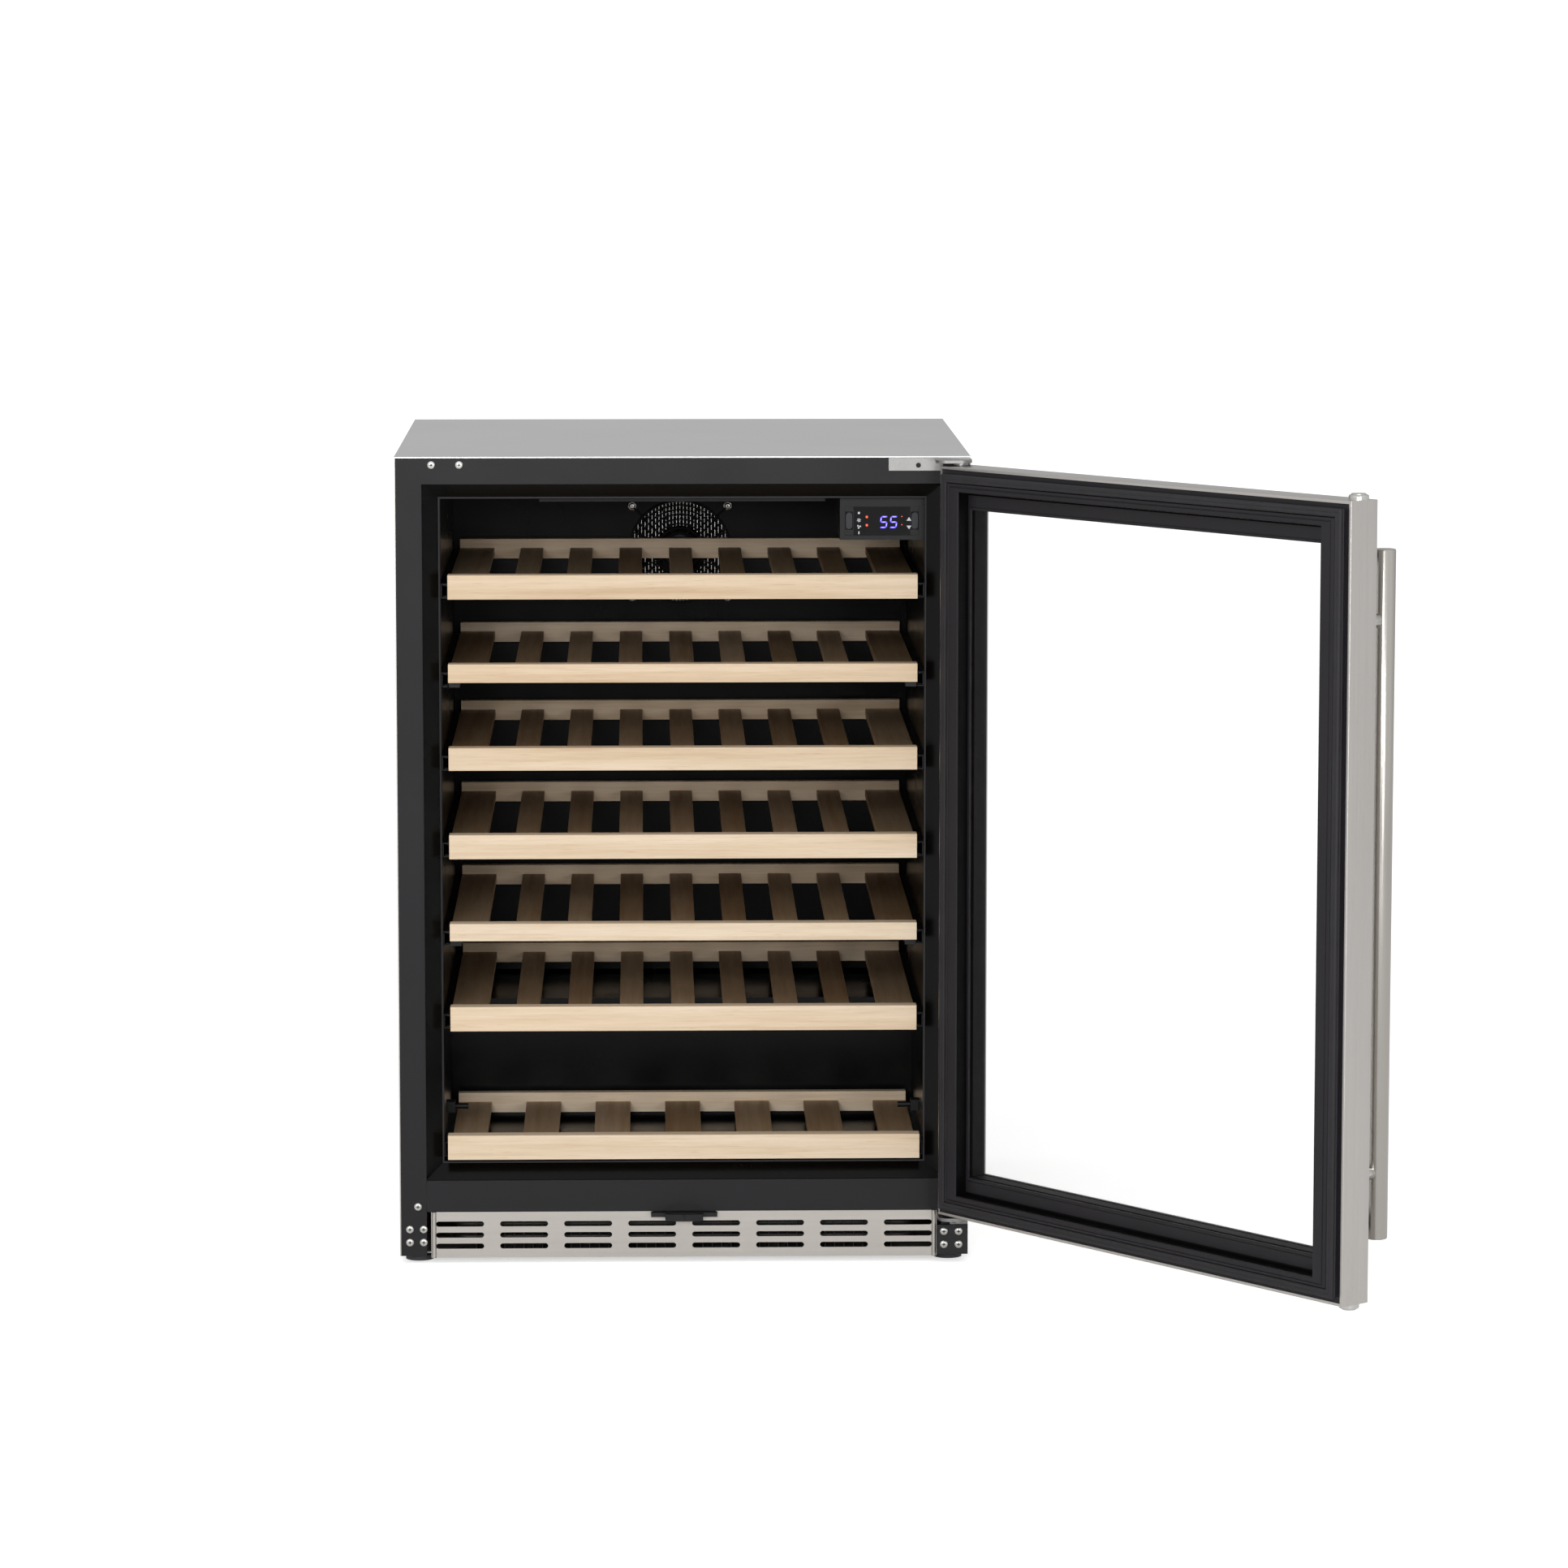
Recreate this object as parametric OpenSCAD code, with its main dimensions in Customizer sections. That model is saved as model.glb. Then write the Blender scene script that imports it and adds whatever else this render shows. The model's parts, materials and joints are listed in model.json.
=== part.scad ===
// Under-counter wine cooler with one glass door, seven sliding racks and a compressor cooling unit.
// Millimetres. Origin on the floor under the middle of the body, +X to the right, +Y to the back.

/* [Cabinet] */
// Width of the cabinet body
cab_w = 600; // [590:1:620]
// Depth of the cabinet body without the door
cab_d = 590; // [570:1:620]
// Height of the top above the floor
cab_h = 853; // [840:1:870]
// Gap between the side panels and the floor
side_gap = 8; // [6:1:10]
// Thickness of the sheet steel
sheet = 1.2; // [0.8:0.1:1.5]
// Width of the dark front frame's bands
band_w = 28.4; // [26:0.2:30]
// Width of the bottle space
bay_w = 506; // [500:1:508]
// Height of the bottle space's floor
bay_z0 = 106; // [104:1:108]
// Height of the bottle space's ceiling
bay_z1 = 808; // [800:1:812]

/* [Racks] */
// Width of a rack
rack_w = 491; // [488:0.5:492]
// Depth of a full rack
rack_d = 433; // [430:1:436]
// Depth of the short bottom rack
short_rack_d = 248; // [240:1:252]

/* [Door] */
// Width of the door
door_w = 597; // [590:0.5:598]
// Depth of the door
door_t = 37; // [34:0.5:40]
// Height of the door's lower edge
door_z0 = 57; // [56.5:0.5:60]
// Height of the door's upper edge
door_z1 = 845.5; // [842:0.5:846]
// Width of the steel frame beside the glass
stile_w = 34; // [34:0.5:38]
// Width of the steel frame above and below the glass
rail_w = 44; // [42:0.5:46]
// Angle at which the door stands open
door_open = 128.5; // [0:0.5:128.5]

/* [Handle] */
// Diameter of the handle bar
handle_d = 22; // [20:0.5:24]
// Length of the handle bar
handle_l = 682; // [600:1:700]

/* [Hidden] */
$fn = 48;

half_w = cab_w / 2;
front_y = -cab_d / 2;
back_y = cab_d / 2;
inner_w = cab_w - 2 * sheet;
under_top = cab_h - sheet;
frame_t = 4;                          // thickness of the front frame
frame_y = front_y + frame_t;
opening_w = cab_w - 2 * band_w;       // clear width inside the front frame
opening_z0 = 89;                      // lower edge of the opening in the front frame
opening_z1 = cab_h - band_w;
throat_d = 16;                        // depth of the sloped throat
bay_y0 = frame_y + throat_d;
liner_t = 2;
bay_back_y = 236;
hump_y = -8;                          // front of the step over the machine bay
hump_z = 236;                         // top of that step
foam_z0 = 60;
machine_y = 24;                       // front of the machine bay
machine_z = 204;                      // its ceiling
grille_z0 = 6;
grille_z1 = 55;
grille_w = 534;
panel_z1 = opening_z0 - 0.3;
pan_z0 = 8;
pan_t = 1.5;

cover_y = 172;                        // front of the evaporator cover
cover_t = 3;
cover_z0 = 240;
fan_z = 713;                          // centre of the evaporator fan
fan_r = 55;

shelf_top = [729, 635.5, 547.5, 455.5, 361.5, 273, 135.5];
strip_h = [25.5, 19.5, 24, 25.5, 18.5, 26, 26];
strip_t = 18;
rack_y0 = front_y + 7;                // front face of the front strips
slat_drop = 10;                       // slats lie below the strip's top
slat_t = 8;
rail_t = 12;                          // rear rail of a rack
seam = 0.05;                          // glue joint between two boards
runner_h = 12;
runner_t = 5.4;

hinge_x = 288.5;
hinge_y = front_y - 28;
pin_r = 4;
bush_r = 6.5;
door_in_y = front_y - 8;              // closed door's inner face
door_out_y = door_in_y - door_t;
skin = 1.5;                           // door steel
dam_h = 6.8;                          // how far the inner frame stands out beside the gasket
sight_w = 39;                         // width of the inner frame beside the glass
step_x = 35;                          // from the door's side edges to the step inside the dam
step_z = 25.5;                        // from its upper and lower edge to that step
step_d = 14;                          // depth of the step
seal_in = 7.6;                        // from the door's edge to the gasket
dam_in = 16.5;                        // from the door's edge to the dam
pane_t = 4;
pane_gap = 14;
pane_y = door_out_y + 5;              // outer face of the outer pane
pane_in_y = pane_y + 2 * pane_t + pane_gap;
glass_margin = 5.5;                   // how far the panes reach into the frame
window_w = door_w - 2 * stile_w;
window_z0 = door_z0 + rail_w;
window_z1 = door_z1 - rail_w;
handle_x = -door_w / 2 + 26;
handle_y = door_out_y - 36;
handle_z = 453;
standoff_z = [179, 725];
foot_xy = [280, 266];
lock_z = 51.1;
cam_y = front_y - 14;                 // middle of the lock's cam
cam_l = 13;
cam_w = 5.4;
cam_t = 2.6;
ctl_x = 209;                          // middle of the controller
ctl_z = 783;
ctl_y = -262;                         // its face
compressor_at = [-120, 150];
condenser_fan_at = [120, 110, 110];
line_at = [[-30, 215], [-120, 225]];  // where the refrigerant lines pass the foam
key_dx = 34.4;                        // keys either side of the display
key_pin_y = ctl_y + 3.8;

// Box given by its two opposite corners
module span(a, b) {
    translate(a) cube([b[0] - a[0], b[1] - a[1], b[2] - a[2]]);
}

// Cylinder along Y, from y0 to y1
module rod_y(x, z, r, y0, y1) {
    translate([x, y1, z]) rotate([90, 0, 0]) cylinder(r = r, h = y1 - y0);
}

// Cylinder along X, from x0 to x1
module rod_x(y, z, r, x0, x1) {
    translate([x0, y, z]) rotate([0, 90, 0]) cylinder(r = r, h = x1 - x0);
}

// Cylinder along Z, from z0 to z1
module rod_z(x, y, r, z0, z1) {
    translate([x, y, z0]) cylinder(r = r, h = z1 - z0);
}

// Frame in the XZ plane, between an outer and an inner rectangle
module ring(w, z0, z1, in_w, in_z0, in_z1, y0, y1) {
    difference() {
        span([-w / 2, y0, z0], [w / 2, y1, z1]);
        span([-in_w / 2, y0 - 1, in_z0], [in_w / 2, y1 + 1, in_z1]);
    }
}

// Slot with round ends through a plate in the XZ plane
module slot_y(x, z, length, r, y0, y1) {
    rod_y(x - length / 2 + r, z, r, y0, y1);
    rod_y(x + length / 2 - r, z, r, y0, y1);
    span([x - length / 2 + r, y0, z - r], [x + length / 2 - r, y1, z + r]);
}

// Turns the closed door about its hinge to where it stands open
module opened() {
    translate([hinge_x, hinge_y, 0]) rotate([0, 0, door_open]) translate([-hinge_x, -hinge_y, 0])
        children();
}

// Side profile of the bottle space in Y and Z, grown outwards by t
module bay_profile(t) {
    polygon([[bay_y0, bay_z0 - t], [hump_y + t, bay_z0 - t], [hump_y + t, hump_z - t],
        [bay_back_y + t, hump_z - t], [bay_back_y + t, bay_z1 + t], [bay_y0, bay_z1 + t]]);
}

// The bottle space as a solid, grown outwards by t
module bay_solid(t) {
    translate([-bay_w / 2 - t, 0, 0]) rotate([90, 0, 90])
        linear_extrude(bay_w + 2 * t) bay_profile(t);
}

// Tapered hole of the throat, from the front frame to the bottle space
module throat_hole() {
    hull() {
        span([-opening_w / 2, frame_y - 0.02, opening_z0], [opening_w / 2, frame_y, opening_z1]);
        span([-bay_w / 2, bay_y0, bay_z0], [bay_w / 2, bay_y0 + 0.02, bay_z1]);
    }
}

module top_panel() {
    color("lightgray") span([-half_w, front_y, under_top], [half_w, back_y, cab_h]);
}

module side_panels() {
    color("silver") for (s = [-1, 1])
        span([s * (half_w - sheet / 2) - sheet / 2, front_y, side_gap],
            [s * (half_w - sheet / 2) + sheet / 2, back_y, under_top]);
}

module rear_panel() {
    color("gainsboro") difference() {
        span([-inner_w / 2, back_y - sheet, side_gap], [inner_w / 2, back_y, under_top]);
        for (column = [-1, 1], row = [0:6])
            slot_y(column * 130, 60 + row * 18, 150, 3, back_y - 5, back_y + 1);
        rod_y(0, 150, 14, back_y - 5, back_y + 1);
    }
}

module foam_insulation() {
    color("khaki") difference() {
        translate([-inner_w / 2, 0, 0]) rotate([90, 0, 90]) linear_extrude(inner_w)
            polygon([[frame_y, foam_z0], [machine_y, foam_z0], [machine_y, machine_z],
                [back_y - sheet, machine_z], [back_y - sheet, under_top], [frame_y, under_top]]);
        bay_solid(liner_t);
        span([-opening_w / 2 - liner_t, frame_y - 1, opening_z0 - liner_t],
            [opening_w / 2 + liner_t, bay_y0 + 0.01, opening_z1 + liner_t]);
        for (p = line_at) rod_z(p[0], p[1], 3.3, machine_z - 1, hump_z);
    }
}

module inner_liner() {
    color("#101114") difference() {
        union() {
            bay_solid(liner_t);
            span([-opening_w / 2 - liner_t, frame_y, opening_z0 - liner_t],
                [opening_w / 2 + liner_t, bay_y0, opening_z1 + liner_t]);
        }
        translate([0, -0.01, 0]) bay_solid(0);
        throat_hole();
        for (p = line_at) rod_z(p[0], p[1], 3.3, hump_z - liner_t - 1, hump_z + 1);
    }
}

module front_frame() {
    color("#323034") difference() {
        span([-inner_w / 2, front_y, side_gap], [inner_w / 2, frame_y, under_top]);
        span([-opening_w / 2, front_y - 1, side_gap - 1], [opening_w / 2, frame_y + 1, opening_z1]);
    }
}

module lower_front_panel() {
    color("#2f2d30") difference() {
        span([-opening_w / 2 + 0.3, front_y, grille_z1 + 0.2],
            [opening_w / 2 - 0.3, frame_y, panel_z1]);
        intersection() {
            rod_y(0, grille_z1 - 28, 36.5, front_y - 1, front_y + 1.2);
            span([-25, front_y - 1, grille_z1], [25, front_y + 2, grille_z1 + 10]);
        }
    }
}

module kick_grille() {
    slot_pitch = 67.6;
    rows = [42.1, 30.2, 18.4];
    color("#c2beb8") difference() {
        union() {
            span([-grille_w / 2, front_y, grille_z0], [grille_w / 2, front_y + 1.5, grille_z1]);
            span([-grille_w / 2, front_y, grille_z0], [grille_w / 2, front_y + 14, grille_z0 + 1.5]);
            for (s = [-1, 1]) rod_z(s * (grille_w / 2 - 3), front_y - 0.4, 2.4, grille_z0, grille_z1);
        }
        for (column = [-3.5:3.5], z = rows)
            slot_y(column * slot_pitch, z, 50.6, 2.8, front_y - 3, front_y + 3);
        translate([0, front_y + 3, 0]) rotate([90, 0, 0]) linear_extrude(6)
            polygon([[-35, grille_z1 + 1], [35, grille_z1 + 1], [29, grille_z1 - 4], [-29, grille_z1 - 4]]);
    }
}

module base_pan() {
    color("#4a4a4c") difference() {
        union() {
            span([-inner_w / 2, front_y + 16, pan_z0], [inner_w / 2, back_y - sheet, pan_z0 + pan_t]);
            for (s = [-1, 1])
                span([s * (inner_w / 2 - 0.75) - 0.75, front_y + 16, pan_z0],
                    [s * (inner_w / 2 - 0.75) + 0.75, back_y - sheet, pan_z0 + 42]);
        }
        for (sx = [-1, 1], sy = [-1, 1]) rod_z(sx * foot_xy[0], sy * foot_xy[1], 5.05, 0, 20);
    }
    color("#4a4a4c") for (sx = [-1, 1], sy = [-1, 1]) difference() {
        rod_z(sx * foot_xy[0], sy * foot_xy[1], 9, pan_z0 + pan_t, pan_z0 + 14);
        rod_z(sx * foot_xy[0], sy * foot_xy[1], 5.05, 0, 30);
    }
}

module compressor() {
    can_r = 62;
    color("#17181a") translate([compressor_at[0], compressor_at[1], 0]) {
        translate([0, 0, 20]) rotate_extrude() polygon([[0, 0], [can_r - 12, 0], [can_r - 3, 6],
            [can_r, 18], [can_r, 70], [can_r + 3, 71], [can_r + 3, 75], [can_r, 76], [can_r - 4, 108],
            [can_r - 16, 126], [can_r - 34, 136], [0, 140]]);
        for (sx = [-1, 1]) span([sx * 55 - 25, -45, 18], [sx * 55 + 25, 45, 21]);
        span([can_r - 6, -22, 60], [can_r + 18, 22, 104]);
    }
}

module compressor_mounts() {
    color("#202020") for (sx = [-1, 1], sy = [-1, 1])
        rod_z(compressor_at[0] + sx * 66, compressor_at[1] + sy * 34, 9, pan_z0 + pan_t, 18);
}

module condenser_coil() {
    tube_r = 3.2;
    coil_x = 230;
    levels = [22, 36, 50];
    color("#3a2f28") {
        for (z = levels, lane = [0, 1]) rod_x(-262 + lane * 22, z, tube_r, -coil_x, coil_x);
        for (z = levels, s = [-1, 1]) translate([s * coil_x, -251, z])
            rotate([0, 0, s > 0 ? -90 : 90]) rotate_extrude(angle = 180) translate([11, 0]) circle(tube_r);
        for (i = [-22:22]) span([i * 10 - 0.4, -269, pan_z0 + pan_t], [i * 10 + 0.4, -233, 55]);
    }
}

module condenser_shroud() {
    at = condenser_fan_at;
    color("#222325") difference() {
        span([at[0] - 78, at[1] - 14, pan_z0 + pan_t], [at[0] + 78, at[1] + 14, 186]);
        rod_y(at[0], at[2], 68, at[1] - 15, at[1] + 2);
        rod_y(at[0], at[2], 62, at[1] + 1, at[1] + 15);
    }
    color("#222325") {
        difference() {
            rod_y(at[0], at[2], 20, at[1] + 6, at[1] + 13);
            rod_y(at[0], at[2], 3.05, at[1], at[1] + 15);
        }
        for (a = [45:90:315]) translate([at[0], at[1] + 10, at[2]]) rotate([0, a, 0])
            span([19, -2.5, -3], [64, 2.5, 3]);
    }
}

// Axial fan wheel with swept blades, shaft along Y at the middle of the wheel
module fan_wheel(r, hub_r, depth, shaft_r, shaft_l, blades) {
    rotate([90, 0, 0]) {
        translate([0, 0, -depth / 2]) cylinder(r = hub_r, h = depth);
        translate([0, 0, -depth / 2 - shaft_l]) cylinder(r = shaft_r, h = shaft_l + 1);
    }
    for (i = [0:blades - 1]) rotate([0, i * 360 / blades, 0]) rotate([28, 0, 0])
        intersection() {
            span([hub_r - 3, -0.9, -r * 0.34], [r, 0.9, r * 0.34]);
            rotate([90, 0, 0]) translate([0, 0, -3]) difference() {
                cylinder(r = r, h = 6);
                translate([0, 0, -1]) cylinder(r = hub_r - 3, h = 8);
            }
        }
}

module condenser_fan() {
    color("#1b1c1e") translate([condenser_fan_at[0], condenser_fan_at[1] - 4, condenser_fan_at[2]])
        fan_wheel(60, 19, 16, 3, 14, 5);
}

module evaporator_fan() {
    color("#141416") translate([0, cover_y + 17, fan_z]) fan_wheel(50, 18, 16, 3, 14, 7);
}

module fan_motors() {
    color("#55575a") {
        difference() {
            rod_y(condenser_fan_at[0], condenser_fan_at[2], 24, condenser_fan_at[1] + 14.2,
                condenser_fan_at[1] + 46);
            rod_y(condenser_fan_at[0], condenser_fan_at[2], 3.05, condenser_fan_at[1] + 10,
                condenser_fan_at[1] + 20);
        }
        span([condenser_fan_at[0] - 16, condenser_fan_at[1] + 20, pan_z0 + pan_t],
            [condenser_fan_at[0] + 16, condenser_fan_at[1] + 40, condenser_fan_at[2] - 20]);
        difference() {
            rod_y(0, fan_z, 21, cover_y + 29, bay_back_y - 0.1);
            rod_y(0, fan_z, 3.05, cover_y + 20, cover_y + 42);
        }
    }
}

module evaporator_coil() {
    color("#b9bcc0") {
        for (z = [300:44:608], y = [200, 222]) rod_x(y, z, 4, -208, 208);
        for (i = [-16:16]) span([i * 12 - 0.5, 192, 284], [i * 12 + 0.5, 230, 624]);
    }
}

module evaporator_cover() {
    screw_x = 155;
    color("#0e0f12") difference() {
        union() {
            span([-bay_w / 2, cover_y, cover_z0], [bay_w / 2, cover_y + cover_t, bay_z1]);
            ring(2 * 118, fan_z - 60, fan_z + 60, 2 * 112, fan_z - 56, fan_z + 56,
                cover_y + cover_t, cover_y + 26);
        }
        rod_y(0, fan_z, fan_r, cover_y - 1, cover_y + 10);
        for (column = [-3:3]) slot_y(column * 68, cover_z0 + 26, 44, 4, cover_y - 1, cover_y + 5);
    }
    color("#8c8d90") for (z = [303, 404, 504, 599]) rod_y(screw_x, z, 4, cover_y - 1.6, cover_y);
}

module fan_guard() {
    color("#1c1d20") {
        for (r = [16:10:56]) rotate_ring(r);
        rod_y(0, fan_z, 9, cover_y - 4.6, cover_y - 3);
        for (a = [45:90:315]) translate([0, cover_y - 4, fan_z]) rotate([0, a, 0])
            rod_x(0, 0, 1.1, 6, 74);
        for (sx = [-1, 1], sz = [-1, 1]) rod_y(sx * 53.5, fan_z + sz * 51, 4.2, cover_y - 5.6, cover_y);
    }
}

// Wire ring of the fan guard
module rotate_ring(r) {
    translate([0, cover_y - 4, fan_z]) rotate([90, 0, 0]) rotate_extrude() translate([r, 0]) circle(1);
}

module refrigerant_lines() {
    line_r = 3;
    can = compressor_at;
    color("#b06a3c") {
        // discharge line to the condenser
        rod_y(-200, 45, line_r, -232.9, can[1]);
        rod_x(can[1], 45, line_r, -200, can[0] - 62.1);
        translate([-200, can[1], 45]) sphere(line_r);
        // suction line from the evaporator
        rod_x(can[1], 45, line_r, can[0] + 62.1, line_at[0][0]);
        rod_y(line_at[0][0], 45, line_r, can[1], line_at[0][1]);
        rod_z(line_at[0][0], line_at[0][1], line_r, 45, 284);
        for (y = [can[1], line_at[0][1]]) translate([line_at[0][0], y, 45]) sphere(line_r);
        // liquid line to the evaporator
        rod_z(can[0], can[1], line_r, 160.1, 180);
        rod_y(can[0], 180, line_r, can[1], line_at[1][1]);
        rod_z(line_at[1][0], line_at[1][1], line_r, 180, 284);
        for (y = [can[1], line_at[1][1]]) translate([can[0], y, 180]) sphere(line_r);
    }
}

module control_box() {
    color("#3b3c40") difference() {
        span([-285, 218, 70], [-215, back_y - sheet, 170]);
        span([-279, 224, 76], [-221, back_y - sheet - 6, 171]);
    }
    color("#3b3c40") span([-283, 220, 170], [-217, back_y - sheet - 2, 173]);
}

module power_inlet() {
    color("#161616") {
        difference() {
            rod_y(0, 150, 13.9, back_y - 26, back_y + 4);
            for (a = [0, 120, 240]) translate([0, 0, 150]) rotate([0, a, 0])
                rod_y(0, 6, 2.2, back_y - 14, back_y + 5);
        }
        difference() {
            rod_y(0, 150, 19, back_y, back_y + 3);
            rod_y(0, 150, 13, back_y - 1, back_y + 5);
        }
    }
}

module led_lamp() {
    color("#eef2ff") span([-150, -240, bay_z1 - 6], [150, -222, bay_z1]);
}

module controller_housing() {
    color("#1d1f22") difference() {
        span([ctl_x - 44, ctl_y - 0.1, ctl_z - 20], [ctl_x + 44, ctl_y + 60, bay_z1]);
        span([ctl_x - 39, ctl_y - 1, ctl_z - 15.5], [ctl_x + 39, ctl_y + 2.2, ctl_z + 15]);
        for (s = [-1, 1]) {
            span([ctl_x + s * key_dx - 3.9, ctl_y, ctl_z - 9.4], [ctl_x + s * key_dx + 3.9, ctl_y + 9, ctl_z + 9.4]);
            rod_x(key_pin_y, ctl_z, 1.05, ctl_x + s * key_dx - 5.8, ctl_x + s * key_dx + 5.8);
        }
    }
}

module display_lens() {
    color("#0a0b10") span([ctl_x - 29.5, ctl_y + 0.4, ctl_z - 15], [ctl_x + 29.5, ctl_y + 2.2, ctl_z + 14.5]);
}

// Oval rocker key on a cross pin that lies in the housing
module key(x) {
    color("#2b2d31") {
        translate([x, 0, ctl_z]) {
            for (s = [-1, 1]) rod_y(0, s * 5.4, 3.3, ctl_y + 0.9, ctl_y + 5);
            span([-3.3, ctl_y + 0.9, -5.4], [3.3, ctl_y + 5, 5.4]);
            rod_x(key_pin_y, 0, 1, -5.6, 5.6);
        }
    }
}

module left_key() {
    key(ctl_x - key_dx);
}

module right_key() {
    key(ctl_x + key_dx);
}

// Plate that carries a hinge pin, round at its front
module hinge_plate(x0, z0, t) {
    hull() {
        span([x0, front_y - 18, z0], [299.8, front_y, z0 + t]);
        for (x = [x0 + 11.3, hinge_x]) rod_z(x, hinge_y - 2.7, 11.3, z0, z0 + t);
    }
}

module top_hinge_bracket() {
    plate_z0 = 848.5;
    color("#c9c9c7") difference() {
        union() {
            hinge_plate(262, plate_z0, 3);
            span([214.5, front_y - 2.5, 838.2], [271, front_y, plate_z0 + 3]);
            rod_z(hinge_x, hinge_y, pin_r, door_z1 - 16, plate_z0);
            rod_z(hinge_x, hinge_y, 7.5, door_z1 + 0.4, plate_z0);
        }
        for (x = [245.4, 229]) rod_y(x, 843.8, 2.6, front_y - 3, front_y + 1);
    }
    color("#c9c9c7") rod_y(229, 843.8, 3.8, front_y - 4, front_y - 2.5);
}

module bottom_hinge_bracket() {
    plate_z1 = 54;
    color("#c9c9c7") difference() {
        union() {
            hinge_plate(267, plate_z1 - 3.5, 3.5);
            span([281, front_y - 2.5, 40], [299.8, front_y, plate_z1]);
            rod_z(hinge_x, hinge_y, pin_r, plate_z1 - 6, door_z0 + 16);
            rod_z(hinge_x, hinge_y, 7.5, plate_z1, door_z0 - 0.4);
            rod_z(hinge_x, hinge_y, 6, plate_z1 - 7, plate_z1 - 3.5);
        }
        span([270, front_y - 14, plate_z1 - 4], [277, front_y - 7, plate_z1 + 1]);
    }
}

module corner_plate() {
    color("#1b1b1c") difference() {
        span([267.5, front_y - 5, 8.5], [299.8, front_y, 39.8]);
        for (x = [274.5, 290], z = [19, 33]) rod_y(x, z, 2.4, front_y - 6, front_y - 1);
    }
}

// Pan-head screw with its axis along Y and its head's seat at y
module pan_screw(x, z, y, r) {
    translate([x, y, z]) rotate([90, 0, 0]) difference() {
        union() {
            cylinder(r = r, h = 0.8);
            translate([0, 0, 0.8]) cylinder(r1 = r, r2 = r * 0.7, h = 0.9);
        }
        for (a = [0, 90]) rotate([0, 0, a]) translate([-r * 0.5, -0.4, 0.7]) cube([r, 0.8, 2]);
    }
}

module cabinet_screws() {
    color("#d8d8d6") {
        for (x = [-261.2, -232.2]) pan_screw(x, 844.7, front_y, 4.2);
        for (x = [-289.5, -275], z = [22.5, 36.5]) pan_screw(x, z, front_y, 4.2);
        translate([-280.8, front_y, 60.8]) rotate([90, 0, 0]) cylinder(r = 4.2, h = 0.4);
        for (x = [274.5, 290], z = [19, 33]) pan_screw(x, z, front_y - 5, 4.2);
    }
}

// Levelling foot on a threaded stem that runs in the base pan
module foot(sx, sy) {
    color("#6a6b6d") translate([sx * foot_xy[0], sy * foot_xy[1], 0]) {
        rod_z(0, 0, 5, 2, 44);
        rod_z(0, 0, 15, 0, 5);
        translate([0, 0, 5]) cylinder(r = 10.4, h = 2.6, $fn = 6);
    }
}

module foot_front_left() {
    foot(-1, -1);
}

module foot_front_right() {
    foot(1, -1);
}

module foot_rear_left() {
    foot(-1, 1);
}

module foot_rear_right() {
    foot(1, 1);
}

// Depth of a rack and height of its runners' middle
function depth_of(i) = i < 6 ? rack_d : short_rack_d;
function runner_z(i) = shelf_top[i] - 18.5;
// Width of a rack's front strip; the bottom one is a little wider
function strip_w(i) = i < 6 ? rack_w : rack_w + 7;

module slide_channels() {
    channel_x = bay_w / 2;
    color("#202124") for (i = [0:6], s = [-1, 1]) {
        y0 = bay_y0 + 8;
        y1 = rack_y0 + strip_t + depth_of(i) - 24;
        z = runner_z(i);
        mirror([s < 0 ? 1 : 0, 0, 0]) difference() {
            span([channel_x - 6.4, y0, z - runner_h / 2 - 1.6], [channel_x, y1, z + runner_h / 2 + 1.6]);
            span([channel_x - 7, y0 - 1, z - runner_h / 2 - 0.5], [channel_x - 1.2, y1 + 1, z + runner_h / 2 + 0.5]);
        }
    }
}

module bottle_stops() {
    color("#101012") for (s = [-1, 1]) {
        span([s * (bay_w / 2 - 4) - 4, -168, 138.5], [s * (bay_w / 2 - 4) + 4, -152, 150]);
        rod_x(-160, 144, 3, s > 0 ? 231 : -245.5, s > 0 ? 245.5 : -231);
    }
}

// Wooden rack: front strip, side boards, slats and cross boards, with a steel runner on each side
module shelf(i) {
    top = shelf_top[i];
    depth = depth_of(i);
    w = rack_w;
    y0 = rack_y0;
    y1 = y0 + strip_t + depth - rail_t;
    slat_z1 = top - slat_drop;
    slat_z0 = slat_z1 - slat_t;
    pitch = i < 6 ? 55 : 76;
    slat_w = i < 6 ? 25 : 38;
    side_in = i < 6 ? 207 : 209;
    count = i < 6 ? 3 : 2;
    low = slat_z0 - 8;
    slat_y0 = y0 + strip_t + seam;
    slat_y1 = y1 - seam;
    brace_y = slat_y0 + 45;            // cross board under the slats
    color("#ead9bd") {
        span([-strip_w(i) / 2, y0, top - strip_h[i]], [strip_w(i) / 2, y0 + strip_t, top]);
        span([-w / 2, y1, slat_z0 - 4], [w / 2, y1 + rail_t, top]);
        for (s = [-1, 1]) mirror([s < 0 ? 1 : 0, 0, 0])
            span([side_in, slat_y0, slat_z0], [w / 2, slat_y1, slat_z1]);
        for (n = [-count:count])
            span([n * pitch - slat_w / 2, slat_y0, slat_z0], [n * pitch + slat_w / 2, slat_y1, slat_z1]);
        span([-w / 2 + 12 + seam, brace_y, low], [w / 2 - 12 - seam, brace_y + 33, slat_z0 - seam]);
    }
    color("#2a2b2e") for (s = [-1, 1]) mirror([s < 0 ? 1 : 0, 0, 0]) {
        span([w / 2 + seam, slat_y0 + 4, runner_z(i) - runner_h / 2],
            [w / 2 + runner_t, slat_y1, runner_z(i) + runner_h / 2]);
        span([w / 2 - 12, slat_y0, low - 0.5], [w / 2, slat_y1, slat_z0 - seam]);
    }
}

module shelf_1() {
    shelf(0);
}

module shelf_2() {
    shelf(1);
}

module shelf_3() {
    shelf(2);
}

module shelf_4() {
    shelf(3);
}

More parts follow.
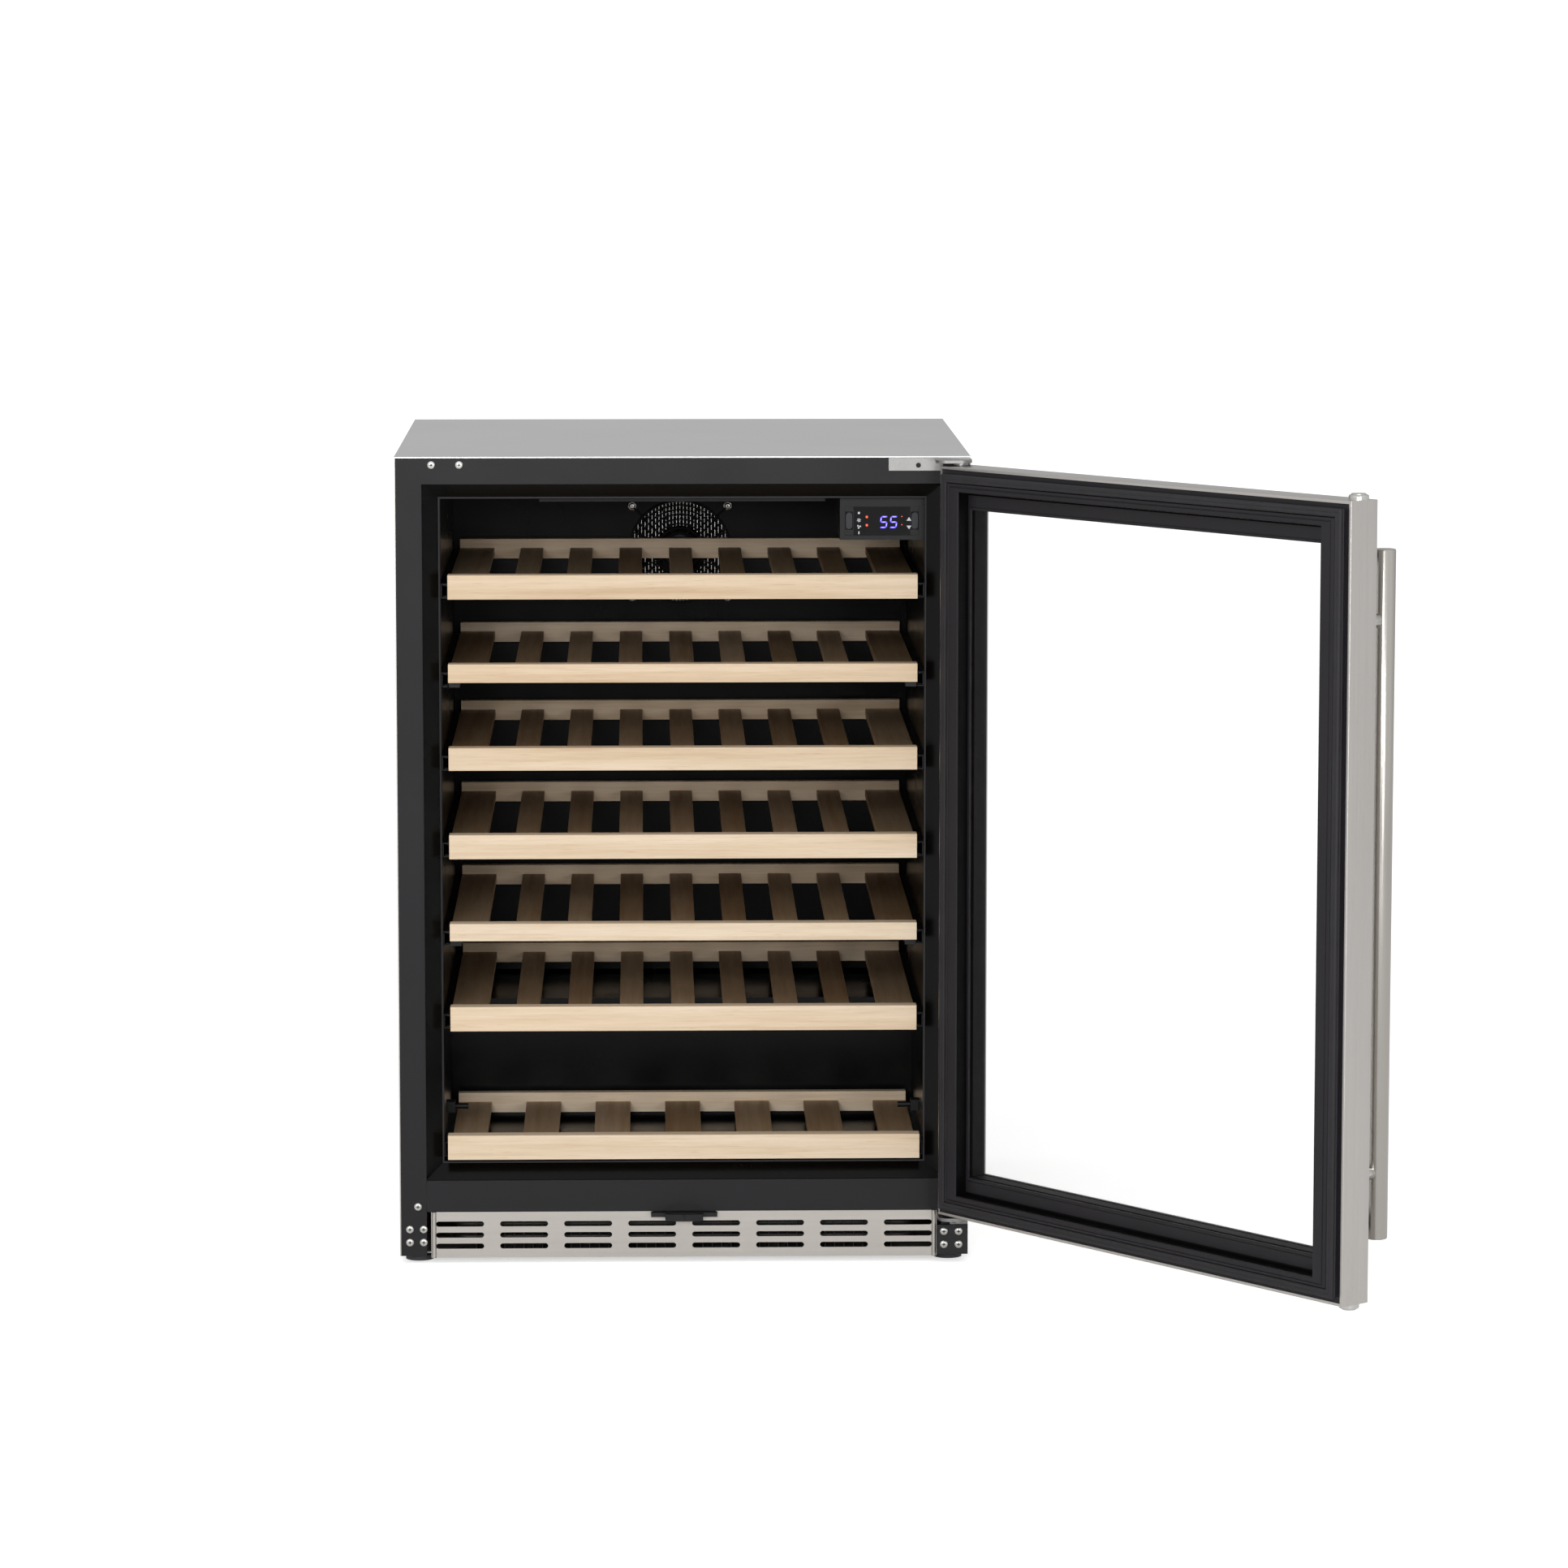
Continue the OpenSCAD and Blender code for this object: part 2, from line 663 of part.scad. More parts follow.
module shelf_5() {
    shelf(4);
}

module shelf_6() {
    shelf(5);
}

module shelf_7() {
    shelf(6);
}

module lock_body() {
    color("#141517") difference() {
        intersection() {
            union() {
                span([-35, front_y - 9, 50.4], [35, front_y, 54.7]);
                span([-20, front_y - 19, lock_z - 3.6], [20, front_y, 54.7]);
            }
            translate([0, front_y + 60, lock_z - 4]) cylinder(r = 79, h = 8);
        }
        rod_y(0, lock_z, 2.75, front_y - 20, front_y - 6);
        rod_y(0, lock_z, cam_l + 1.5, cam_y - cam_t / 2 - 0.3, cam_y + cam_t / 2 + 0.3);
    }
}

// Key cylinder with a cam that lies to the right and turns up into the door
module lock_cylinder() {
    color("#2a2b2d") difference() {
        union() {
            rod_y(0, lock_z, 2.7, front_y - 20.2, front_y - 7);
            span([0, cam_y - cam_t / 2, lock_z - cam_w / 2],
                [cam_l - cam_w / 2, cam_y + cam_t / 2, lock_z + cam_w / 2]);
            rod_y(cam_l - cam_w / 2, lock_z, cam_w / 2, cam_y - cam_t / 2, cam_y + cam_t / 2);
        }
        span([-0.4, front_y - 21, lock_z - 1.8], [0.4, front_y - 17, lock_z + 1.8]);
    }
}

// Slot in the door's lower rail for the lock's cam
module cam_slot() {
    span([-5, cam_y - cam_t / 2 - 0.4, door_z0 - 1], [15, cam_y + cam_t / 2 + 0.4, door_z0 + 9]);
}

module door_frame() {
    color("#c4c1bb") opened() difference() {
        union() {
            ring(door_w, door_z0, door_z1, window_w, window_z0, window_z1, door_out_y, door_out_y + skin);
            ring(door_w, door_z0, door_z1, door_w - 2 * skin, door_z0 + skin, door_z1 - skin,
                door_out_y, door_in_y);
            ring(door_w, door_z0, door_z1, door_w - 6, door_z0 + 3, door_z1 - 3,
                door_in_y - 1.2, door_in_y);
        }
        rod_z(hinge_x, hinge_y, bush_r, door_z0 - 1, door_z1 + 1);
        cam_slot();
    }
}

module door_liner() {
    side = skin + 0.1;
    liner_out = door_w - 2 * side;
    step_w = door_w - 2 * step_x;
    step_y = door_in_y + dam_h - step_d;
    color("#39373b") opened() difference() {
        union() {
            ring(liner_out, door_z0 + side, door_z1 - side, window_w, window_z0, window_z1,
                door_out_y + skin, pane_in_y);
            ring(liner_out, door_z0 + side, door_z1 - side, door_w - 2 * sight_w, window_z0, window_z1,
                pane_in_y - 1, step_y);
            ring(liner_out, door_z0 + side, door_z1 - side, step_w, door_z0 + step_z, door_z1 - step_z,
                step_y - 1, door_in_y - 1.2);
            ring(door_w - 2 * dam_in, door_z0 + dam_in, door_z1 - dam_in, step_w, door_z0 + step_z,
                door_z1 - step_z, door_in_y - 2, door_in_y + dam_h);
        }
        cam_slot();
        span([-window_w / 2 - glass_margin, pane_y, window_z0 - glass_margin],
            [window_w / 2 + glass_margin, pane_in_y, window_z1 + glass_margin]);
        rod_z(hinge_x, hinge_y, bush_r, door_z0, door_z0 + 20);
        rod_z(hinge_x, hinge_y, bush_r, door_z1 - 20, door_z1);
    }
}

module door_gasket() {
    color("#0c0c0d") opened()
        ring(door_w - 2 * seal_in, door_z0 + seal_in, door_z1 - seal_in, door_w - 2 * dam_in,
            door_z0 + dam_in, door_z1 - dam_in, door_in_y - 1.2, door_in_y + 7.1);
}

module glass_panes() {
    w = window_w / 2 + glass_margin;
    color("#dfeeea", 0.3) opened() for (y = [pane_y, pane_y + pane_t + pane_gap])
        span([-w, y, window_z0 - glass_margin], [w, y + pane_t, window_z1 + glass_margin]);
}

module glass_spacer() {
    w = window_w + 2 * glass_margin;
    color("#77797b") opened()
        ring(w, window_z0 - glass_margin, window_z1 + glass_margin, door_w - 2 * sight_w,
            window_z0 + 0.2, window_z1 - 0.2, pane_y + pane_t, pane_y + pane_t + pane_gap);
}

module handle_bar() {
    color("#c8c5bf") opened() difference() {
        rod_z(handle_x, handle_y, handle_d / 2, handle_z - handle_l / 2, handle_z + handle_l / 2);
        for (z = standoff_z) rod_y(handle_x, z, 4, handle_y, handle_y + handle_d);
    }
}

module handle_standoffs() {
    color("#bdbab4") opened() for (z = standoff_z) {
        difference() {
            rod_y(handle_x, z, 7, handle_y + handle_d / 2 - 1, door_out_y);
            rod_z(handle_x, handle_y, handle_d / 2, z - 10, z + 10);
        }
        rod_y(handle_x, z, 4, handle_y + 3, handle_y + handle_d);
    }
}

module hinge_hole_plugs() {
    x = -hinge_x;
    color("#c9c8c6") opened() {
        rod_z(x, hinge_y, 10, door_z1, door_z1 + 5);
        rod_z(x, hinge_y, 10, door_z0 - 5, door_z0);
        for (z = [door_z1 + 5, door_z0 - 6.2]) translate([x, hinge_y, z]) cylinder(r = 7.5, h = 1.2);
    }
}

module hinge_bushes() {
    color("#d9d6cc") opened() for (span_z = [[door_z0, door_z0 + 18], [door_z1 - 18, door_z1]])
        difference() {
            rod_z(hinge_x, hinge_y, bush_r, span_z[0], span_z[1]);
            rod_z(hinge_x, hinge_y, pin_r + 0.06, span_z[0] - 1, span_z[1] + 1);
        }
}

top_panel();
side_panels();
rear_panel();
foam_insulation();
inner_liner();
front_frame();
lower_front_panel();
kick_grille();
base_pan();
compressor();
compressor_mounts();
condenser_coil();
condenser_shroud();
condenser_fan();
evaporator_coil();
evaporator_cover();
fan_guard();
evaporator_fan();
fan_motors();
refrigerant_lines();
control_box();
led_lamp();
controller_housing();
display_lens();
left_key();
right_key();
top_hinge_bracket();
bottom_hinge_bracket();
corner_plate();
cabinet_screws();
foot_front_left();
foot_front_right();
foot_rear_left();
foot_rear_right();
slide_channels();
bottle_stops();
lock_body();
lock_cylinder();
power_inlet();
shelf_1();
shelf_2();
shelf_3();
shelf_4();
shelf_5();
shelf_6();
shelf_7();
door_frame();
door_liner();
door_gasket();
glass_panes();
glass_spacer();
handle_bar();
handle_standoffs();
hinge_hole_plugs();
hinge_bushes();
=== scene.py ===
"""Wine cooler with an open glass door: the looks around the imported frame."""

import json
import math
import random

import bmesh
import bpy
from mathutils import Matrix, Vector


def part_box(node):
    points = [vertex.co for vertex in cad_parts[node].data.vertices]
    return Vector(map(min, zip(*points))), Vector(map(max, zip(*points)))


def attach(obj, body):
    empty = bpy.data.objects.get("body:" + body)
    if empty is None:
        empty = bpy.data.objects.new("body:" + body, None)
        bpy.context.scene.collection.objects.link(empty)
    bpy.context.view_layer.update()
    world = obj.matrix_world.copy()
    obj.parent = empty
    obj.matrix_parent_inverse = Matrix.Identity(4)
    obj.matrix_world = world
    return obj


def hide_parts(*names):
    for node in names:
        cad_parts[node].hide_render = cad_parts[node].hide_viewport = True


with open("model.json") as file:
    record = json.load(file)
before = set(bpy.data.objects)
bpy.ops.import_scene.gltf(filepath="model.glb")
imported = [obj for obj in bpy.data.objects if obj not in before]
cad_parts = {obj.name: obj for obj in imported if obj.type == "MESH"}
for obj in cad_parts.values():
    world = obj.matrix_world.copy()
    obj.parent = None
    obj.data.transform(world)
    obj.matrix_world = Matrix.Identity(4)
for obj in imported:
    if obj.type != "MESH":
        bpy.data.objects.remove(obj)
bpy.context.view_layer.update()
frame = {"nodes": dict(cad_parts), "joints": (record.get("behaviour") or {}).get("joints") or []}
nodes = frame["nodes"]
scene = bpy.context.scene
dice = random.Random(7)

MM = 0.001
X, Y, Z = 0, 1, 2

# The door's pieces are modelled shut, and this turns them to where the door stands open
hinge = next(j for j in frame["joints"] if j["name"] == "door_hinge")
hinge_at = Vector(hinge["pos_m"])
open_angle = math.radians(-hinge["range_deg"][0])
OPENED = Matrix.Translation(hinge_at) @ Matrix.Rotation(open_angle, 4, "Z") @ Matrix.Translation(-hinge_at)
SHUT = OPENED.inverted()


def box_mm(name):
    """Lowest and highest corner of a CAD node, in millimetres."""
    lo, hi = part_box(name)
    return lo / MM, hi / MM


def shut_box_mm(name):
    """The same for a node of the door, with the door shut."""
    points = [SHUT @ v.co / MM for v in nodes[name].data.vertices]
    return (
        Vector([min(p[i] for p in points) for i in range(3)]),
        Vector([max(p[i] for p in points) for i in range(3)]),
    )


# ---------------------------------------------------------------- materials


def tree_node(tree, kind, inputs=None, **settings):
    """A shader node with its settings, and its inputs given as values or as sockets to link."""
    made = tree.nodes.new("ShaderNode" + kind)
    for key, value in settings.items():
        setattr(made, key, value)
    for key, value in (inputs or {}).items():
        if isinstance(value, bpy.types.NodeSocket):
            tree.links.new(value, made.inputs[key])
        else:
            made.inputs[key].default_value = value
    return made


def new_material(name, **values):
    """A material with one Principled shader, whose constant sockets are set here."""
    made = bpy.data.materials.new(name)
    made.use_nodes = True
    tree = made.node_tree
    tree.nodes.clear()
    shader = tree_node(tree, "BsdfPrincipled")
    for key, value in values.items():
        shader.inputs[key.replace("_", " ")].default_value = value
    tree_node(tree, "OutputMaterial", {"Surface": shader.outputs[0]})
    return made, tree, shader


def rgb(*srgb):
    """A colour from 0 to 255 in sRGB, as the linear colour that a shader takes."""
    return tuple(((v / 255 + 0.055) / 1.055) ** 2.4 if v > 10 else v / 255 / 12.92 for v in srgb) + (1.0,)


def shade(colour, factor):
    """The same colour, lighter or darker."""
    return tuple(min(1.0, c * factor) for c in colour[:3]) + (1.0,)


def noise(tree, scale, detail=3.0, rough=0.55, stretch=(1, 1, 1)):
    """Noise in the object's own coordinates, which are metres."""
    coord = tree_node(tree, "TexCoord").outputs["Object"]
    scaled = tree_node(tree, "Mapping", {"Vector": coord, "Scale": [scale * s for s in stretch]})
    made = tree_node(
        tree, "TexNoise", {"Vector": scaled.outputs[0], "Scale": 1.0, "Detail": detail, "Roughness": rough}
    )
    return made.outputs["Fac"]


def mapped(tree, value, low, high, start=0.3, end=0.7):
    """A value that goes from low to high as the given one goes from start to end."""
    made = tree_node(
        tree, "MapRange", {"Value": value, "From Min": start, "From Max": end, "To Min": low, "To Max": high}
    )
    return made.outputs[0]


def ramp(tree, value, *stops):
    """A colour ramp from stops given as (position, colour)."""
    made = tree_node(tree, "ValToRGB", {"Fac": value})
    line = made.color_ramp
    while len(line.elements) < len(stops):
        line.elements.new(0.5)
    for element, (position, colour) in zip(line.elements, stops):
        element.position = position
        element.color = colour
    return made.outputs["Color"]


def blend_colours(tree, fac, a, b, mode="MIX"):
    made = tree_node(tree, "MixRGB", {"Fac": fac, "Color1": a, "Color2": b}, blend_type=mode)
    return made.outputs[0]


def bump(tree, height, strength, distance):
    made = tree_node(tree, "Bump", {"Height": height, "Strength": strength, "Distance": distance})
    return made.outputs[0]


def brushed(name, colour, along, rough=0.3, contrast=0.06, strength=0.06):
    """Brushed stainless steel whose grain runs along one axis of the object."""
    made, tree, shader = new_material(name, Metallic=1.0)
    stretch = [1.0, 1.0, 1.0]
    stretch[along] = 0.012
    fine = noise(tree, 2600, 2, 0.6, stretch)
    streaks = noise(tree, 330, 3, 0.6, stretch)
    broad = noise(tree, 5, 2)
    mixed = blend_colours(tree, 0.5, fine, streaks)
    base = ramp(tree, mixed, (0.32, shade(colour, 1 - contrast)), (0.68, shade(colour, 1 + contrast)))
    tint = ramp(tree, broad, (0.35, shade(colour, 0.96)), (0.65, shade(colour, 1.03)))
    tree.links.new(blend_colours(tree, 0.35, base, tint), shader.inputs["Base Color"])
    tree.links.new(mapped(tree, mixed, rough - 0.05, rough + 0.07), shader.inputs["Roughness"])
    tree.links.new(bump(tree, mixed, strength, 0.0004), shader.inputs["Normal"])
    return made


def plain_metal(name, colour, rough=0.25):
    """Plated or turned metal with faint marks and smudges."""
    made, tree, shader = new_material(name, Metallic=1.0)
    marks = noise(tree, 900, 4, 0.7)
    smudge = noise(tree, 35, 3)
    base = ramp(tree, marks, (0.3, shade(colour, 0.9)), (0.7, shade(colour, 1.06)))
    tree.links.new(base, shader.inputs["Base Color"])
    tree.links.new(mapped(tree, smudge, rough - 0.06, rough + 0.1), shader.inputs["Roughness"])
    tree.links.new(bump(tree, marks, 0.08, 0.0003), shader.inputs["Normal"])
    return made


def painted(name, colour, rough=0.5, grain=1500, strength=0.08, spread=0.1, **values):
    """Paint or moulded plastic: fine orange peel, and a roughness that drifts a little."""
    made, tree, shader = new_material(name, **values)
    peel = noise(tree, grain, 3, 0.6)
    broad = noise(tree, 9, 3)
    base = ramp(tree, broad, (0.3, shade(colour, 1 - spread)), (0.7, shade(colour, 1 + spread)))
    tree.links.new(base, shader.inputs["Base Color"])
    tree.links.new(mapped(tree, broad, rough - 0.04, rough + 0.05), shader.inputs["Roughness"])
    tree.links.new(bump(tree, peel, strength, 0.0003), shader.inputs["Normal"])
    return made


def wood(name, along):
    """Pale beech with the grain along one axis: growth bands, flecks, pores, a random tone for each board,
    and painted shade that darkens the boards given a low value towards brown.
    """
    made, tree, shader = new_material(name, Specular_IOR_Level=0.35)
    band_stretch = [1.0, 1.0, 1.0]
    band_stretch[along] = 0.03
    fleck_stretch = [1.0, 1.0, 1.0]
    fleck_stretch[along] = 0.05
    bands = noise(tree, 95, 4, 0.62, band_stretch)
    fine = noise(tree, 620, 3, 0.6, band_stretch)
    flecks = noise(tree, 900, 2, 0.5, fleck_stretch)
    patches = noise(tree, 7, 2, 0.5, band_stretch)
    light, middle, dark = rgb(233, 218, 197), rgb(225, 207, 182), rgb(211, 189, 160)
    base = ramp(tree, bands, (0.30, light), (0.52, middle), (0.74, dark))
    lines = ramp(tree, fine, (0.40, (1, 1, 1, 1)), (0.72, (0.90, 0.86, 0.81, 1)))
    base = blend_colours(tree, 0.8, base, lines, "MULTIPLY")
    pores = ramp(tree, flecks, (0.62, (1, 1, 1, 1)), (0.74, (0.80, 0.70, 0.60, 1)))
    base = blend_colours(tree, 0.6, base, pores, "MULTIPLY")
    warm = ramp(tree, patches, (0.35, (1, 1, 1, 1)), (0.70, (0.95, 0.88, 0.80, 1)))
    base = blend_colours(tree, 0.7, base, warm, "MULTIPLY")
    tone_and_shade = tree_node(tree, "Attribute", attribute_name="tone_and_shade").outputs["Fac"]
    # A low value on a board is painted shade that draws the wood towards brown. A high value leaves plain
    # beech.
    painted_shade_brown, plain_beech = (0.42, 0.33, 0.24, 1), (0.86, 0.80, 0.73, 1)
    board = ramp(tree, tone_and_shade, (0.0, painted_shade_brown), (0.5, plain_beech), (1.0, (1, 1, 1, 1)))
    base = blend_colours(tree, 1.0, base, board, "MULTIPLY")
    tree.links.new(base, shader.inputs["Base Color"])
    tree.links.new(mapped(tree, bands, 0.46, 0.60), shader.inputs["Roughness"])
    tree.links.new(bump(tree, fine, 0.12, 0.0004), shader.inputs["Normal"])
    return made


def rubber(name, colour=rgb(20, 20, 21), rough=0.62):
    """Dull rubber with a fine grain and a little dust."""
    made, tree, shader = new_material(name, Specular_IOR_Level=0.4)
    speckle = noise(tree, 2200, 3, 0.7)
    dust = noise(tree, 40, 4, 0.7)
    base = ramp(tree, dust, (0.35, shade(colour, 0.85)), (0.75, shade(colour, 1.35)))
    tree.links.new(base, shader.inputs["Base Color"])
    tree.links.new(mapped(tree, dust, rough - 0.05, rough + 0.08), shader.inputs["Roughness"])
    tree.links.new(bump(tree, speckle, 0.2, 0.0002), shader.inputs["Normal"])
    return made


def glowing(name, colour, strength):
    """A lit display segment behind tinted plastic."""
    made, tree, shader = new_material(
        name, Base_Color=shade(colour, 0.2), Roughness=0.4, Emission_Strength=strength
    )
    cells = noise(tree, 700, 2)
    tree.links.new(
        ramp(tree, cells, (0.2, shade(colour, 0.85)), (0.8, colour)), shader.inputs["Emission Color"]
    )
    return made


def clear_glass():
    """Insulating glass: almost clear, a faint green tint, and clean reflections."""
    made, tree, shader = new_material(
        "clear_glass", Base_Color=(0.02, 0.025, 0.022, 1), IOR=1.5, Alpha=0.03, Specular_IOR_Level=0.5
    )
    haze = noise(tree, 18, 3)
    tree.links.new(mapped(tree, haze, 0.02, 0.05), shader.inputs["Roughness"])
    return made


STEEL = rgb(204, 200, 196)
CHARCOAL = rgb(21, 19, 22)

steel_x = brushed("steel_grain_x", STEEL, X)
steel_z = brushed("steel_grain_z", STEEL, Z)
# The top sheet's steel is lighter than the door's and the sides': painted light on the top.
lit_top_steel = brushed("top_sheet_steel", rgb(221, 221, 221), X, 0.42, 0.04)
grille_steel = brushed("grille_steel", rgb(188, 184, 178), X, 0.4, 0.05)
side_steel = brushed("side_sheet_steel", rgb(188, 186, 182), Z, 0.38, 0.04)
handle_steel = brushed("handle_steel", rgb(186, 182, 176), Z, 0.2, 0.04)
bright_steel = plain_metal("plated_steel", rgb(214, 213, 209), 0.22)
bracket_steel = plain_metal("hinge_steel", rgb(142, 141, 140), 0.32)
galvanised = plain_metal("galvanised_steel", rgb(176, 178, 178), 0.42)
aluminium = plain_metal("aluminium", rgb(168, 170, 172), 0.35)
copper = plain_metal("copper", rgb(196, 122, 78), 0.3)
charcoal = painted("charcoal_paint", CHARCOAL, 0.5, Specular_IOR_Level=0.3)
inner_charcoal = painted("door_inner_plastic", rgb(33, 31, 34), 0.42, 1100, 0.06, Specular_IOR_Level=0.25)
gloss_black = painted("gloss_black_liner", rgb(3, 3, 3), 0.24, 260, 0.02, Specular_IOR_Level=0.18)
cover_black = painted("cover_black", rgb(2, 2, 2), 0.3, 900, 0.03, Specular_IOR_Level=0.1)
matt_black = painted("matt_black", rgb(14, 14, 15), 0.5, 1300, 0.1, Specular_IOR_Level=0.35)
rail_black = painted("rail_black", rgb(12, 12, 13), 0.34, 1500, 0.06, Specular_IOR_Level=0.3)
plate_black = painted("plate_black", rgb(20, 20, 21), 0.42, 1200, 0.12, Specular_IOR_Level=0.35)
case_plastic = painted("controller_plastic", rgb(12, 13, 15), 0.36, 1700, 0.06, Specular_IOR_Level=0.25)
key_plastic = painted("key_plastic", rgb(33, 35, 39), 0.42, 1500, 0.06, Specular_IOR_Level=0.35)
lens_plastic = painted("display_plastic", rgb(3, 3, 6), 0.1, 200, 0.01, Specular_IOR_Level=0.3)
white_plastic = painted("nylon", rgb(214, 210, 200), 0.45)
can_black = painted("compressor_paint", rgb(20, 21, 23), 0.3, 700, 0.12)
coil_brown = painted("condenser_paint", rgb(40, 36, 33), 0.45, 900, 0.12)
foam_yellow = painted("insulating_foam", rgb(222, 196, 132), 0.9, 420, 0.7)
lamp_lens = painted("lamp_lens", rgb(13, 13, 15), 0.3, 500, 0.05, Specular_IOR_Level=0.25)
seal_rubber = rubber("seal_rubber", rgb(34, 32, 35))
spacer_dark = painted("spacer_black", rgb(22, 20, 20), 0.5, 900, 0.04, Specular_IOR_Level=0.15)
# Near-black for the wall of the step in the door's inner frame: painted shadow.
shadow_black = painted("painted_step_shadow", rgb(5, 5, 5), 0.5, 900, 0.04, Specular_IOR_Level=0.1)
foot_rubber = rubber("foot_rubber", rgb(62, 62, 64))
mount_rubber = rubber("mount_rubber")
glass = clear_glass()
digit_light = glowing("digit_light", (0.08, 0.05, 1.0, 1), 3.2)
digit_core = glowing("digit_core", (0.42, 0.36, 1.0, 1), 1.6)
red_light = glowing("red_light", (1.0, 0.10, 0.04, 1), 1.5)
mark_white = painted("printed_mark", rgb(206, 208, 212), 0.5)
beech_x = wood("beech_grain_x", X)
beech_y = wood("beech_grain_y", Y)

FINISH = {
    "top_panel": lit_top_steel, "side_panels": side_steel, "rear_panel": galvanised,
    "foam_insulation": foam_yellow, "inner_liner": gloss_black, "front_frame": charcoal,
    "lower_front_panel": charcoal, "kick_grille": grille_steel, "base_pan": galvanised,
    "compressor": can_black, "compressor_mounts": mount_rubber, "condenser_coil": coil_brown,
    "condenser_shroud": matt_black, "condenser_fan": matt_black, "evaporator_coil": aluminium,
    "evaporator_cover": cover_black, "fan_guard": matt_black, "evaporator_fan": matt_black,
    "fan_motors": galvanised, "refrigerant_lines": copper, "control_box": case_plastic,
    "led_lamp": lamp_lens, "controller_housing": case_plastic, "display_lens": lens_plastic,
    "left_key": key_plastic, "right_key": key_plastic, "top_hinge_bracket": bracket_steel,
    "bottom_hinge_bracket": bracket_steel, "corner_plate": plate_black,
    "cabinet_screws": bright_steel, "foot_front_left": foot_rubber, "foot_front_right": foot_rubber,
    "foot_rear_left": foot_rubber, "foot_rear_right": foot_rubber, "slide_channels": rail_black,
    "bottle_stops": matt_black, "lock_body": matt_black, "lock_cylinder": plate_black,
    "power_inlet": matt_black, "door_frame": steel_z,
    "door_liner": inner_charcoal, "door_gasket": seal_rubber, "glass_panes": glass,
    "glass_spacer": spacer_dark, "handle_bar": handle_steel, "handle_standoffs": bright_steel,
    "hinge_hole_plugs": bright_steel, "hinge_bushes": white_plastic,
}
for name, finish in FINISH.items():
    nodes[name].data.materials.clear()
    nodes[name].data.materials.append(finish)


# ---------------------------------------------------------------- mesh tools

SHARP_DEGREES = 40
BEVEL_SEGMENTS = 3
SCREW_SIDES = 24


def bridge(bm, a, b, mat=0):
    """Faces between two rings with as many points each."""
    for n in range(len(a)):
        m = (n + 1) % len(a)
        bm.faces.new([a[n], a[m], b[m], b[n]]).material_index = mat


def add_box(bm, lo, hi, mat=0, tone_and_shade=0.5):
    """A box between two corners in millimetres; the last argument is the board's value for the wood: random,
    and low on boards that take painted shade.
    """
    corners = [
        bm.verts.new([(lo, hi)[i][0] * MM, (lo, hi)[j][1] * MM, (lo, hi)[k][2] * MM])
        for i in (0, 1) for j in (0, 1) for k in (0, 1)
    ]
    layer = bm.faces.layers.float.get("tone_and_shade") or bm.faces.layers.float.new("tone_and_shade")
    for quad in ((0, 1, 3, 2), (4, 6, 7, 5), (0, 4, 5, 1), (2, 3, 7, 6), (0, 2, 6, 4), (1, 5, 7, 3)):
        face = bm.faces.new([corners[n] for n in quad])
        face.material_index = mat
        face[layer] = tone_and_shade


def placed(axis, at, radius, angle, height):
    """A point at a radius and angle around an axis through at, in metres."""
    a, b = radius * math.cos(angle), radius * math.sin(angle)
    local = {X: (height, a, b), Y: (b, height, a), Z: (a, b, height)}[axis]
    return [(at[i] + local[i]) * MM for i in range(3)]


def add_lathe(bm, profile, axis, at, mat=0, steps=48, closed=False):
    """A turned solid: the profile is (radius, height) along the axis, and radius 0 makes a pole."""
    rings = []
    for radius, height in profile:
        if radius == 0:
            rings.append([bm.verts.new(placed(axis, at, 0, 0, height))])
        else:
            rings.append([
                bm.verts.new(placed(axis, at, radius, 2 * math.pi * n / steps, height)) for n in range(steps)
            ])
    for a, b in zip(rings, rings[1:] + ([rings[0]] if closed else [])):
        for n in range(steps):
            m = (n + 1) % steps
            quad = [a[n % len(a)], a[m % len(a)], b[m % len(b)], b[n % len(b)]]
            corners = list(dict.fromkeys(quad))
            if len(corners) > 2:
                bm.faces.new(corners).material_index = mat


def add_torus(bm, axis, at, big, small, mat=0, steps=64, sides=8):
    """A ring around an axis, with the radius of the ring and that of its wire."""
    profile = [
        (big + small * math.cos(2 * math.pi * n / sides), small * math.sin(2 * math.pi * n / sides))
        for n in range(sides)
    ]
    add_lathe(bm, profile, axis, at, mat, steps, closed=True)


def add_rod(bm, a, b, radius, mat=0, sides=8):
    """A straight rod with flat ends between two points in millimetres."""
    a, b = Vector(a), Vector(b)
    turn = (b - a).to_track_quat("Z", "Y")
    angles = [2 * math.pi * n / sides for n in range(sides)]
    rim = [turn @ Vector((radius * math.cos(angle), radius * math.sin(angle), 0)) for angle in angles]
    ends = [[bm.verts.new((end + point) * MM) for point in rim] for end in (a, b)]
    bridge(bm, *ends, mat)
    for ring in ends:
        bm.faces.new(ring).material_index = mat


def add_prism(bm, outline, y0, y1, mat=0):
    """A plate in the XZ plane with that outline, from y0 to y1."""
    ends = [[bm.verts.new([x * MM, y * MM, z * MM]) for x, z in outline] for y in (y0, y1)]
    bridge(bm, *ends, mat)
    for ring in ends:
        bm.faces.new(ring).material_index = mat


def add_frame(bm, half_w, z0, z1, profile, mats=(0, 1), band=(), band_mat=1):
    """A mitred frame in the XZ plane, from a closed profile of (inset in x, inset in z, y).

    mats are for its stiles and rails. The strips of the profile that band lists take band_mat instead.
    """
    corners = []
    for sx, sz in ((-1, 0), (-1, 1), (1, 1), (1, 0)):
        corners.append([
            bm.verts.new([sx * (half_w - dx) * MM, y * MM, (z1 - dz if sz else z0 + dz) * MM])
            for dx, dz, y in profile
        ])
    for side in range(4):
        a, b = corners[side], corners[(side + 1) % 4]
        for n in range(len(profile)):
            m = (n + 1) % len(profile)
            mat = band_mat if n in band else mats[side % 2]
            bm.faces.new([a[n], a[m], b[m], b[n]]).material_index = mat


